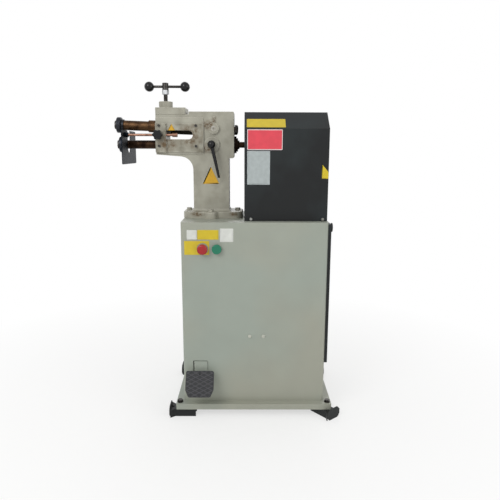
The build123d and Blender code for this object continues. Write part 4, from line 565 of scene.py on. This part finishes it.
def black_powder_coat(colour):
    """Textured polyester powder coat on sheet steel: near black, slightly sparkling, with a
    painted teal sheen and painted highlights along its edges.
    """
    material, output, place = new_material("textured_black_powder_coat")
    cloud = node(material, "ShaderNodeTexNoise", values={"Scale": per(190), "Detail": 3.0},
                 links={"Vector": place}).outputs["Fac"]
    # painted teal sheen, a bluish bloom over large areas
    teal_sheen = node(material, "ShaderNodeMapRange",
                 values={"From Min": 0.45, "From Max": 0.72, "To Min": 0.0, "To Max": 0.14},
                 links={"Value": cloud}).outputs["Result"]
    clouded_tone = node(material, "ShaderNodeMix", {"data_type": "RGBA"},
                 values={6: linear(colour), 7: linear("#4E5E60")},
                 links={0: teal_sheen}).outputs[2]
    # painted highlight along the edges, 2 mm wide, pale where the bevelled normal turns away
    edge_normal = node(material, "ShaderNodeBevel", {"samples": 6},
                       values={"Radius": 2.0 * MM}).outputs["Normal"]
    flat_normal = node(material, "ShaderNodeNewGeometry").outputs["Normal"]
    agree = node(material, "ShaderNodeVectorMath", {"operation": "DOT_PRODUCT"},
                 links={0: edge_normal, 1: flat_normal}).outputs["Value"]
    edge = node(material, "ShaderNodeMapRange",
                values={"From Min": 0.995, "From Max": 0.88, "To Min": 0.0, "To Max": 0.22},
                links={"Value": agree}).outputs["Result"]
    edge_lit = node(material, "ShaderNodeMix", {"data_type": "RGBA"},
                values={7: linear("#6A6A68")},
                links={0: edge, 6: clouded_tone}).outputs[2]
    # the powder's texture is about 0.8 mm; it is drawn at 1.6 mm
    grit = node(material, "ShaderNodeTexNoise", values={"Scale": per(1.6), "Detail": 2.0},
                links={"Vector": place}).outputs["Fac"]
    skin = node(material, "ShaderNodeBump", values={"Strength": 0.4, "Distance": 0.2 * MM},
                links={"Height": grit, "Normal": edge_normal}).outputs["Normal"]
    rough = node(material, "ShaderNodeMapRange",
                 values={"From Min": 0.3, "From Max": 0.7, "To Min": 0.44, "To Max": 0.60},
                 links={"Value": cloud}).outputs["Result"]
    return shade(material, output, {"IOR": 1.5, "Specular IOR Level": 0.28},
                 {"Base Color": edge_lit, "Roughness": rough, "Normal": skin})


def turned_steel(name, bright, dark, axis_scale, rough_low, rough_high):
    """Machined steel: tool marks across its axis and an oil film that darkens it in patches."""
    material, output, place = new_material(name)
    marks_place = node(material, "ShaderNodeMapping", values={"Scale": axis_scale},
                       links={"Vector": place}).outputs["Vector"]
    marks = node(material, "ShaderNodeTexNoise", values={"Scale": 1.0, "Detail": 3.0},
                 links={"Vector": marks_place}).outputs["Fac"]
    film = node(material, "ShaderNodeTexNoise", values={"Scale": per(22), "Detail": 4.0},
                links={"Vector": place}).outputs["Fac"]
    patch = node(material, "ShaderNodeMapRange",
                 values={"From Min": 0.36, "From Max": 0.66, "To Min": 0.0, "To Max": 1.0},
                 links={"Value": film}).outputs["Result"]
    metal = node(material, "ShaderNodeMix", {"data_type": "RGBA"},
                 values={6: linear(bright), 7: linear(dark)},
                 links={0: patch}).outputs[2]
    rough = node(material, "ShaderNodeMapRange",
                 values={"From Min": 0.3, "From Max": 0.7,
                         "To Min": rough_low, "To Max": rough_high},
                 links={"Value": marks}).outputs["Result"]
    scratch = node(material, "ShaderNodeBump", values={"Strength": 0.25, "Distance": 0.06 * MM},
                   links={"Height": marks}).outputs["Normal"]
    return shade(material, output, {"Metallic": 1.0},
                 {"Base Color": metal, "Roughness": rough, "Normal": scratch})


def moulded(name, colour, rough_value, grain_mm, grain_depth, specular=0.5):
    """Moulded plastic: even colour with a fine tool texture and slight tone changes."""
    material, output, place = new_material(name)
    cloud = node(material, "ShaderNodeTexNoise", values={"Scale": per(14), "Detail": 2.0},
                 links={"Vector": place}).outputs["Fac"]
    tone = node(material, "ShaderNodeMapRange",
                values={"From Min": 0.3, "From Max": 0.7, "To Min": 0.93, "To Max": 1.06},
                links={"Value": cloud}).outputs["Result"]
    colour_out = node(material, "ShaderNodeHueSaturation", values={"Color": linear(colour)},
                      links={"Value": tone}).outputs["Color"]
    grain = node(material, "ShaderNodeTexNoise", values={"Scale": per(grain_mm), "Detail": 1.0},
                 links={"Vector": place}).outputs["Fac"]
    skin = node(material, "ShaderNodeBump", values={"Strength": 0.3, "Distance": grain_depth},
                links={"Height": grain}).outputs["Normal"]
    return shade(material, output,
                 {"IOR": 1.49, "Roughness": rough_value, "Specular IOR Level": specular},
                 {"Base Color": colour_out, "Normal": skin})


def tread_rubber(colour, middle, out, pad_thickness):
    """Vulcanised rubber pad: matt, dusty grey, with the tops of its ribs rubbed light."""
    material, output, place = new_material("ribbed_pedal_rubber")
    away = node(material, "ShaderNodeVectorMath", {"operation": "SUBTRACT"},
                values={1: middle}, links={0: place}).outputs["Vector"]
    rise = node(material, "ShaderNodeVectorMath", {"operation": "DOT_PRODUCT"},
                values={1: out}, links={0: away}).outputs["Value"]
    rib = node(material, "ShaderNodeMapRange",
               values={"From Min": pad_thickness + 0.4 * MM, "From Max": pad_thickness + 1.5 * MM,
                       "To Min": 0.0, "To Max": 0.42},
               links={"Value": rise}).outputs["Result"]
    cloud = node(material, "ShaderNodeTexNoise", values={"Scale": per(9), "Detail": 3.0},
                 links={"Vector": place}).outputs["Fac"]
    dust = node(material, "ShaderNodeMapRange",
                values={"From Min": 0.4, "From Max": 0.7, "To Min": 0.0, "To Max": 0.22},
                links={"Value": cloud}).outputs["Result"]
    clouded_tone = node(material, "ShaderNodeMix", {"data_type": "RGBA"},
                 values={6: linear(colour), 7: linear("#55534F")},
                 links={0: dust}).outputs[2]
    rubbed = node(material, "ShaderNodeMix", {"data_type": "RGBA"},
                  values={7: linear("#68686C")},
                  links={0: rib, 6: clouded_tone}).outputs[2]
    skin = node(material, "ShaderNodeBump", values={"Strength": 0.3, "Distance": 0.2 * MM},
                links={"Height": cloud}).outputs["Normal"]
    return shade(material, output, {"IOR": 1.52, "Roughness": 0.72},
                 {"Base Color": rubbed, "Normal": skin})


def printed_film(name, colour):
    """Polyester film: flat colour under a soft gloss, slightly uneven where glue lies under it."""
    material, output, place = new_material(name)
    wave = node(material, "ShaderNodeTexNoise", values={"Scale": per(24), "Detail": 1.0},
                links={"Vector": place}).outputs["Fac"]
    tone = node(material, "ShaderNodeMapRange",
                values={"From Min": 0.3, "From Max": 0.7, "To Min": 0.95, "To Max": 1.05},
                links={"Value": wave}).outputs["Result"]
    ink = node(material, "ShaderNodeHueSaturation", values={"Color": linear(colour)},
               links={"Value": tone}).outputs["Color"]
    skin = node(material, "ShaderNodeBump", values={"Strength": 0.2, "Distance": 0.2 * MM},
                links={"Height": wave}).outputs["Normal"]
    return shade(material, output, {"IOR": 1.57, "Roughness": 0.38},
                 {"Base Color": ink, "Normal": skin})


def studio_floor(near, far):
    """Matt white vinyl: keeps the machine's shadow near it and fades into the white studio."""
    material, output, place = new_material("matt_white_studio_vinyl")
    flat = node(material, "ShaderNodeVectorMath", {"operation": "LENGTH"},
                links={0: place}).outputs["Value"]
    grain = node(material, "ShaderNodeTexNoise", values={"Scale": per(40), "Detail": 2.0},
                 links={"Vector": place}).outputs["Fac"]
    tone = node(material, "ShaderNodeMapRange",
                values={"From Min": 0.3, "From Max": 0.7, "To Min": 0.985, "To Max": 1.0},
                links={"Value": grain}).outputs["Result"]
    vinyl_colour = node(material, "ShaderNodeHueSaturation", values={"Color": linear("#F6F6F4")},
                        links={"Value": tone}).outputs["Color"]
    vinyl = node(material, "ShaderNodeBsdfPrincipled", values={"Roughness": 0.8},
                 links={"Base Color": vinyl_colour})
    white = node(material, "ShaderNodeEmission",
                 values={"Color": (1.0, 1.0, 1.0, 1.0), "Strength": 1.0})
    fade = node(material, "ShaderNodeMapRange",
                values={"From Min": near, "From Max": far, "To Min": 0.62, "To Max": 1.0},
                links={"Value": flat}).outputs["Result"]
    rays = node(material, "ShaderNodeLightPath")
    seen = node(material, "ShaderNodeMath", {"operation": "MAXIMUM"},
                links={0: rays.outputs["Is Camera Ray"],
                       1: rays.outputs["Is Glossy Ray"]}).outputs["Value"]
    seen = node(material, "ShaderNodeMath", {"operation": "MAXIMUM"},
                links={0: seen, 1: rays.outputs["Is Transmission Ray"]}).outputs["Value"]
    share = node(material, "ShaderNodeMath", {"operation": "MULTIPLY"},
                 links={0: seen, 1: fade}).outputs["Value"]
    blended = node(material, "ShaderNodeMixShader",
                   links={0: share, 1: vinyl.outputs["BSDF"], 2: white.outputs["Emission"]})
    material.node_tree.links.new(blended.outputs["Shader"], output.inputs["Surface"])
    return material


# ------------------------------------------------------------------ operators


class CRIMPER_OT_paint_cabinet(bpy.types.Operator):
    """Enamel the sheet metal cabinet, its tray and the pedal's arm"""

    bl_idname = "crimper.paint_cabinet"
    bl_label = "Paint cabinet"

    def execute(self, context):
        paints = context.scene.crimper_paints
        dress(
            ["base_tray", "cabinet_shell", "cabinet_rear_panel", "pedal_arm"],
            cabinet_enamel(paints.cabinet),
        )
        return {"FINISHED"}


class CRIMPER_OT_paint_casting(bpy.types.Operator):
    """Enamel the cast head, its cap block, guide plate, gear cover and hold-down bolts"""

    bl_idname = "crimper.paint_casting"
    bl_label = "Paint casting"

    def execute(self, context):
        paints = context.scene.crimper_paints
        # painted brown reflections and shade beside the pivot boss, the lever's boss and along the
        # flange, in mm: x, z, half axes
        painted_reflection_spots = (
            (-80.0, 1162.0, 34.0, 26.0),
            (-57.0, 1184.0, 14.0, 20.0),
            (-84.0, 1074.0, 30.0, 24.0),
            (-126.0, 812.0, 34.0, 14.0),
            (20.0, 811.0, 22.0, 12.0),
        )
        plate_spots = (
            (-150.0, 1122.0, 60.0, 56.0),
            (-240.0, 1090.0, 50.0, 40.0),
        )
        dress(
            ["frame_casting", "gear_case_cover", "top_cap_block", "hold_down_bolts"],
            casting_enamel("brushed_enamel_on_cast_iron", paints.casting, painted_reflection_spots, 0.30),
        )
        dress(
            ["side_guide_plate"],
            casting_enamel("brushed_enamel_on_oily_plate", paints.casting, plate_spots, 0.85),
        )
        return {"FINISHED"}


class CRIMPER_OT_coat_cover(bpy.types.Operator):
    """Powder coat the motor cover, the side panel, the feet and the gearbox's stand"""

    bl_idname = "crimper.coat_cover"
    bl_label = "Coat cover"

    def execute(self, context):
        paints = context.scene.crimper_paints
        dress(
            ["motor_cover", "side_access_panel", "gearbox_stand", "foot_front_left",
             "foot_front_right", "foot_rear_left", "foot_rear_right"],
            black_powder_coat(paints.cover),
        )
        return {"FINISHED"}


class CRIMPER_OT_finish_shafts(bpy.types.Operator):
    """Give the two shafts, their rolls and the gauge their oil-browned and blued steel"""

    bl_idname = "crimper.finish_shafts"
    bl_label = "Finish shafts"

    def execute(self, context):
        paints = context.scene.crimper_paints
        along_x = (per(0.9), per(9), per(9))
        dress(
            ["upper_shaft"],
            turned_steel("oil_browned_turned_steel", paints.upper_shaft, "#3A2A1E",
                         along_x, 0.34, 0.52),
        )
        dress(
            ["lower_shaft"],
            turned_steel("dark_oiled_turned_steel", paints.lower_shaft, "#1E1410",
                         along_x, 0.30, 0.48),
        )
        dress(
            ["lower_end_cap"],
            turned_steel("black_oiled_turned_steel", "#221A15", "#120D0A",
                         along_x, 0.34, 0.50),
        )
        dress(
            ["upper_roll", "lower_roll"],
            turned_steel("hardened_roll_steel", paints.roll, "#222327",
                         along_x, 0.30, 0.46),
        )
        dress(
            ["gauge_rod"],
            turned_steel("drawn_copper_tinted_rod", "#9B7766", "#654A3E",
                         along_x, 0.26, 0.42),
        )
        dress(
            ["gauge_plate"],
            turned_steel("blued_gauge_steel", paints.gauge, "#12171D",
                         (per(9), per(9), per(1.2)), 0.42, 0.60),
        )
        return {"FINISHED"}


class CRIMPER_OT_finish_metals(bpy.types.Operator):
    """Give gears, pins, bolts, nuts and springs their bare, plated or blackened metal"""

    bl_idname = "crimper.finish_metals"
    bl_label = "Finish metals"

    def execute(self, context):
        along_x = (per(0.9), per(9), per(9))
        along_z = (per(9), per(9), per(0.9))
        dress(
            ["lower_sleeve", "lower_gear", "upper_gear", "worm_wheel", "pivot_screws",
             "pedal_pivot_pin", "switch_plunger"],
            turned_steel("turned_bare_steel", "#B9B7B0", "#8C8779", along_x, 0.22, 0.40),
        )
        dress(
            ["thrust_pad", "motor_rotor"],
            turned_steel("ground_bare_steel", "#BDBBB5", "#8F8B80", along_z, 0.18, 0.34),
        )
        dress(
            ["pedal_bracket", "panel_screws", "lift_springs", "pedal_spring"],
            turned_steel("zinc_plated_steel", "#BFC1C2", "#9A9992", along_z, 0.30, 0.46),
        )
        dress(
            ["screw_locknut"],
            turned_steel("bright_zinc_plated_nut", "#B9BBBD", "#96989A", along_z, 0.30, 0.44),
        )
        dress(
            ["head_screws", "lower_roll_nut", "upper_swing_arm", "upper_roll_nut",
             "upper_rear_nut", "adjusting_screw", "tee_bar", "foot_bolts"],
            turned_steel("oil_blackened_steel", "#4C4A48", "#2B2926", along_z, 0.26, 0.42),
        )
        dress(
            ["lower_front_bush", "upper_bushes"],
            turned_steel("cast_tin_bronze", "#B08A4E", "#7C5E33", along_x, 0.26, 0.42),
        )
        return {"FINISHED"}


class CRIMPER_OT_finish_plastics(bpy.types.Operator):
    """Give the knobs, buttons, boxes and the motor their moulded and enamelled finish"""

    bl_idname = "crimper.finish_plastics"
    bl_label = "Finish plastics"

    def execute(self, context):
        paints = context.scene.crimper_paints
        dress(
            ["access_panel_knobs", "tee_balls", "clamp_knob", "shift_lever"],
            moulded("polished_phenolic", "#0E0E10", 0.20, 6.0, 0.02 * MM, 0.32),
        )
        dress(
            ["cable_gland"],
            moulded("black_polyamide", "#1B1C1E", 0.5, 0.8, 0.05 * MM),
        )
        dress(
            ["switchgear_box", "button_station", "foot_switch"],
            moulded("grey_abs", "#8F9493", 0.45, 0.9, 0.05 * MM),
        )
        dress(["stop_button"], moulded("red_abs", paints.stop_red, 0.30, 1.2, 0.03 * MM))
        dress(["start_button"], moulded("green_abs", paints.start_green, 0.30, 1.2, 0.03 * MM))
        dress(
            ["gearbox_housing", "motor_housing"],
            moulded("grey_blue_motor_enamel", "#4E5F6E", 0.36, 2.4, 0.18 * MM),
        )
        return {"FINISHED"}


class CRIMPER_OT_finish_pedal(bpy.types.Operator):
    """Give the pedal's tread its rubbed rubber"""

    bl_idname = "crimper.finish_pedal"
    bl_label = "Finish pedal"

    def execute(self, context):
        paints = context.scene.crimper_paints
        slope = radians(TREAD_SLOPE)
        out = Vector((0, -sin(slope), cos(slope)))
        dress(["pedal_tread"], tread_rubber(paints.tread, Vector(TREAD_MIDDLE), out, TREAD_PAD))
        return {"FINISHED"}


class CRIMPER_OT_cover_plates(bpy.types.Operator):
    """Put the blank plates on the motor cover: yellow on its slope, red and aluminium below"""

    bl_idname = "crimper.cover_plates"
    bl_label = "Cover plates"

    def execute(self, context):
        paints = context.scene.crimper_paints
        plates = context.scene.crimper_plates
        yellow = printed_film("yellow_polyester_film", paints.yellow_film)
        red = printed_film("red_polyester_film", paints.red_film)
        pale = printed_film("pale_red_film_rim", "#E9D2D2")
        lowest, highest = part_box("motor_cover")
        front = lowest.y
        along = Vector((0, COVER_SLOPE_DEPTH, highest.z - COVER_FOLD)).normalized()

        shape = bmesh.new()
        rounded_plate(shape, rectangle(*SLOPE_PLATE), plates.corner, plates.film,
                      plates.border, 0)
        slope_middle = Vector((147 * MM, front, COVER_FOLD)) + along * 32 * MM
        bmesh.ops.transform(shape, matrix=on_face(slope_middle, (1, 0, 0), along),
                            verts=shape.verts)
        piece("slope_plate", shape, [yellow], "frame")

        shape = bmesh.new()
        rounded_plate(shape, rectangle(*RED_PLATE), plates.corner, plates.film,
                      plates.border, 1)
        bmesh.ops.transform(
            shape,
            matrix=on_face((142 * MM, front, 1105 * MM), (1, 0, 0), (0, 0, 1)),
            verts=shape.verts,
        )
        piece("red_cover_plate", shape, [pale, red], "frame")

        aluminium = turned_steel("matt_anodised_aluminium", "#B8C0C0", "#A2AAAA",
                                 (per(14), per(14), per(0.7)), 0.36, 0.50)
        field = moulded("etched_plate_field", "#A8B0B0", 0.5, 0.9, 0.03 * MM)
        width, height = ALUMINIUM_PLATE
        shape = bmesh.new()
        rounded_plate(shape, rectangle(width, height), plates.corner, plates.sheet,
                      3.2 * MM, 1)
        for side in (-1, 1):
            for level in (-1, 1):
                rivet(shape, side * (width / 2 - RIVET_INSET),
                      level * (height / 2 - RIVET_INSET),
                      plates.sheet, RIVET_RADIUS, RIVET_HEIGHT)
        bmesh.ops.transform(
            shape,
            matrix=on_face((118.5 * MM, front, 999.5 * MM), (1, 0, 0), (0, 0, 1)),
            verts=shape.verts,
        )
        piece("rating_plate_blank", shape, [aluminium, field], "frame")

        shape = bmesh.new()
        corners = [
            (-11.5 * MM, 27 * MM),
            (-11.5 * MM, -26.5 * MM),
            (13.5 * MM, -26.5 * MM),
            (13.5 * MM, -2 * MM),
        ]
        rounded_plate(shape, corners, 1.2 * MM, plates.film, 1.5 * MM, 0)
        bmesh.ops.transform(
            shape,
            matrix=on_face((374 * MM, front, 986 * MM), (1, 0, 0), (0, 0, 1)),
            verts=shape.verts,
        )
        piece("edge_plate", shape, [yellow], "frame")
        return {"FINISHED"}


class CRIMPER_OT_head_plates(bpy.types.Operator):
    """Stick the two blank triangular plates on the column and on the guide plate"""

    bl_idname = "crimper.head_plates"
    bl_label = "Head plates"

    def execute(self, context):
        plates = context.scene.crimper_plates
        amber = printed_film("amber_polyester_film", "#CFA012")
        guide_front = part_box("side_guide_plate")[0].y
        if guide_front > GUIDE_FIELD:
            raise RuntimeError("the guide plate no longer stands in front of its field")
        spots = (
            ("column_plate", (-71.5, COLUMN_FRONT, 966.0), 66.0, 68.0),
            ("guide_plate_patch", (-225.0, GUIDE_FIELD, 1154.5), 29.0, 25.0),
        )
        for name, (x, y, z), width, height in spots:
            shape = bmesh.new()
            corners = [
                (-width / 2 * MM, -height / 2 * MM),
                (width / 2 * MM, -height / 2 * MM),
                (0, height / 2 * MM),
            ]
            rounded_plate(shape, corners, 1.4 * MM, plates.film, width * 0.05 * MM, 0)
            bmesh.ops.transform(shape, matrix=on_face((x * MM, y, z * MM), (1, 0, 0), (0, 0, 1)),
                                verts=shape.verts)
            piece(name, shape, [amber], "frame")
        return {"FINISHED"}


class CRIMPER_OT_cabinet_plates(bpy.types.Operator):
    """Stick the row of blank plates on the cabinet's front, and the one round the buttons"""

    bl_idname = "crimper.cabinet_plates"
    bl_label = "Cabinet plates"

    def execute(self, context):
        paints = context.scene.crimper_paints
        plates = context.scene.crimper_plates
        yellow = printed_film("yellow_cabinet_film", paints.yellow_film)
        white = printed_film("white_polyester_film", "#D3D5CF")
        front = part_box("cabinet_shell")[0].y
        spots = (
            ("white_square_plate", (-157.5, -118.6), (727.5, 764.0), white),
            ("yellow_upper_plate", (-117.0, -35.0), (727.0, 764.5), yellow),
            ("white_right_plate", (-29.6, 22.0), (718.0, 770.5), white),
        )
        for name, (left, right), (bottom, top), film in spots:
            shape = bmesh.new()
            rounded_plate(shape, rectangle((right - left) * MM, (top - bottom) * MM),
                          plates.corner, plates.film, plates.border, 0)
            middle = ((left + right) / 2 * MM, front, (bottom + top) / 2 * MM)
            bmesh.ops.transform(shape, matrix=on_face(middle, (1, 0, 0), (0, 0, 1)),
                                verts=shape.verts)
            piece(name, shape, [film], "frame")

        shape = bmesh.new()
        ringed_plate(shape, STOP_PLATE, STOP_HOLE, STOP_HOLE_RADIUS, plates)
        middle = (-119.5 * MM, front, 694.25 * MM)
        bmesh.ops.transform(shape, matrix=on_face(middle, (1, 0, 0), (0, 0, 1)),
                            verts=shape.verts)
        piece("stop_button_plate", shape, [yellow], "frame")
        return {"FINISHED"}


class CRIMPER_OT_small_screws(bpy.types.Operator):
    """Cap the switchgear's screws on the cabinet's front and set the screw in the tread"""

    bl_idname = "crimper.small_screws"
    bl_label = "Small screws"

    def execute(self, context):
        trim = context.scene.crimper_trim
        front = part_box("cabinet_shell")[0].y
        caps = moulded("pale_screw_caps", "#B9BBAF", 0.35, 1.2, 0.03 * MM)
        for name, x in (("left_screw_cap", 86.65), ("right_screw_cap", 141.15)):
            shape = bmesh.new()
            rivet(shape, 0, 0, 0, trim.cap_diameter / 2, trim.cap_height)
            bmesh.ops.transform(
                shape,
                matrix=on_face((x * MM, front, SCREW_CAP_HEIGHT), (1, 0, 0), (0, 0, 1)),
                verts=shape.verts,
            )
            piece(name, shape, [caps], "frame")

        slope = radians(TREAD_SLOPE)
        up = Vector((0, cos(slope), sin(slope)))
        out = Vector((1, 0, 0)).cross(up)
        spot = Vector(TREAD_MIDDLE) + up * TREAD_SCREW_RISE + out * TREAD_PAD
        black = turned_steel("blackened_screw_steel", "#1C1B1A", "#0F0E0D",
                             (per(9), per(9), per(0.9)), 0.30, 0.46)
        shape = bmesh.new()
        rivet(shape, 0, 0, 0, trim.tread_screw / 2, trim.tread_screw * 0.35)
        bmesh.ops.transform(shape, matrix=on_face(spot, (1, 0, 0), up), verts=shape.verts)
        piece("tread_screw", shape, [black], "pedal")
        return {"FINISHED"}


class CRIMPER_OT_lay_stage(bpy.types.Operator):
    """Lay the white floor, hang the lamps and set the camera at the photograph's view"""

    bl_idname = "crimper.lay_stage"
    bl_label = "Lay stage"

    def execute(self, context):
        stage = context.scene.crimper_stage
        shape = bmesh.new()
        bmesh.ops.create_grid(shape, x_segments=2, y_segments=2, size=stage.floor_size / 2)
        mesh = bpy.data.meshes.new("studio_floor")
        shape.to_mesh(mesh)
        shape.free()
        mesh.materials.append(studio_floor(0.35, 1.7))
        floor = bpy.data.objects.new("studio_floor", mesh)
        context.scene.collection.objects.link(floor)

        world = bpy.data.worlds.new("white_studio")
        context.scene.world = world
        world.use_nodes = True
        world.node_tree.nodes.clear()
        out = node(world, "ShaderNodeOutputWorld")
        light = node(world, "ShaderNodeBackground",
                     values={"Color": (1.0, 1.0, 1.0, 1.0), "Strength": stage.ambient})
        backdrop = node(world, "ShaderNodeBackground",
                        values={"Color": (1.0, 1.0, 1.0, 1.0), "Strength": 1.0})
        rays = node(world, "ShaderNodeLightPath")
        seen = node(world, "ShaderNodeMath", {"operation": "MAXIMUM"},
                    links={0: rays.outputs["Is Camera Ray"],
                           1: rays.outputs["Is Transmission Ray"]}).outputs["Value"]
        seen = node(world, "ShaderNodeMath", {"operation": "MAXIMUM"},
                    links={0: seen, 1: rays.outputs["Is Glossy Ray"]}).outputs["Value"]
        blended = node(world, "ShaderNodeMixShader",
                       links={0: seen, 1: light.outputs["Background"],
                              2: backdrop.outputs["Background"]})
        world.node_tree.links.new(blended.outputs["Shader"], out.inputs["Surface"])

        target = Vector((0.08, 0.0, 0.75))
        lamps = (
            ("key_lamp", (-1.5, -2.3, 2.5), 1.6, stage.key_power),
            ("fill_lamp", (2.4, -1.6, 1.8), 1.8, stage.fill_power),
            ("rear_lamp", (0.4, 2.6, 2.4), 1.6, stage.fill_power),
        )
        for name, place, size, power in lamps:
            lamp = bpy.data.lights.new(name, "AREA")
            lamp.shape = "SQUARE"
            lamp.size = size
            lamp.energy = power
            held = bpy.data.objects.new(name, lamp)
            held.location = place
            held.rotation_euler = (target - Vector(place)).to_track_quat("-Z", "Y").to_euler()
            context.scene.collection.objects.link(held)

        lens = bpy.data.cameras.new("photo_camera")
        lens.sensor_fit = "HORIZONTAL"
        lens.sensor_width = 36.0
        lens.lens = stage.lens
        lens.clip_end = 100.0
        camera = bpy.data.objects.new("photo_camera", lens)
        turn = (
            Matrix.Rotation(-stage.yaw, 4, "Z")
            @ Matrix.Rotation(pi / 2 - stage.pitch, 4, "X")
            @ Matrix.Rotation(stage.roll, 4, "Z")
        )
        camera.matrix_world = Matrix.Translation(Vector(stage.camera_place)) @ turn
        context.scene.collection.objects.link(camera)
        context.scene.camera = camera
        context.scene.view_settings.view_transform = "Standard"
        return {"FINISHED"}


class CRIMPER_PT_sidebar(bpy.types.Panel):
    """The crimper's steps, in the order in which they run"""

    bl_idname = "CRIMPER_PT_sidebar"
    bl_label = "Sheet metal crimper"
    bl_space_type = "VIEW_3D"
    bl_region_type = "UI"
    bl_category = "Crimper"

    def draw(self, context):
        column = self.layout.column()
        for operator in OPERATORS:
            column.operator(operator.bl_idname)


GROUPS = {
    "crimper_paints": CrimperPaints,
    "crimper_plates": CrimperPlates,
    "crimper_trim": CrimperTrim,
    "crimper_stage": CrimperStage,
}
OPERATORS = (
    CRIMPER_OT_lay_stage,
    CRIMPER_OT_paint_cabinet,
    CRIMPER_OT_paint_casting,
    CRIMPER_OT_coat_cover,
    CRIMPER_OT_finish_shafts,
    CRIMPER_OT_finish_metals,
    CRIMPER_OT_finish_plastics,
    CRIMPER_OT_finish_pedal,
    CRIMPER_OT_cover_plates,
    CRIMPER_OT_head_plates,
    CRIMPER_OT_cabinet_plates,
    CRIMPER_OT_small_screws,
)


def register():
    """Registers the classes and hangs the property groups on the scene."""
    for name, group in GROUPS.items():
        bpy.utils.register_class(group)
        setattr(bpy.types.Scene, name, bpy.props.PointerProperty(type=group))
    for operator in OPERATORS:
        bpy.utils.register_class(operator)
    bpy.utils.register_class(CRIMPER_PT_sidebar)


def unregister():
    """Takes everything that register added away again."""
    bpy.utils.unregister_class(CRIMPER_PT_sidebar)
    for operator in reversed(OPERATORS):
        bpy.utils.unregister_class(operator)
    for name, group in GROUPS.items():
        delattr(bpy.types.Scene, name)
        bpy.utils.unregister_class(group)


def main():
    """Runs every step in order."""
    register()
    bpy.ops.crimper.lay_stage()
    bpy.ops.crimper.paint_cabinet()
    bpy.ops.crimper.paint_casting()
    bpy.ops.crimper.coat_cover()
    bpy.ops.crimper.finish_shafts()
    bpy.ops.crimper.finish_metals()
    bpy.ops.crimper.finish_plastics()
    bpy.ops.crimper.finish_pedal()
    bpy.ops.crimper.cover_plates()
    bpy.ops.crimper.head_plates()
    bpy.ops.crimper.cabinet_plates()
    bpy.ops.crimper.small_screws()


if __name__ == "__main__":
    main()
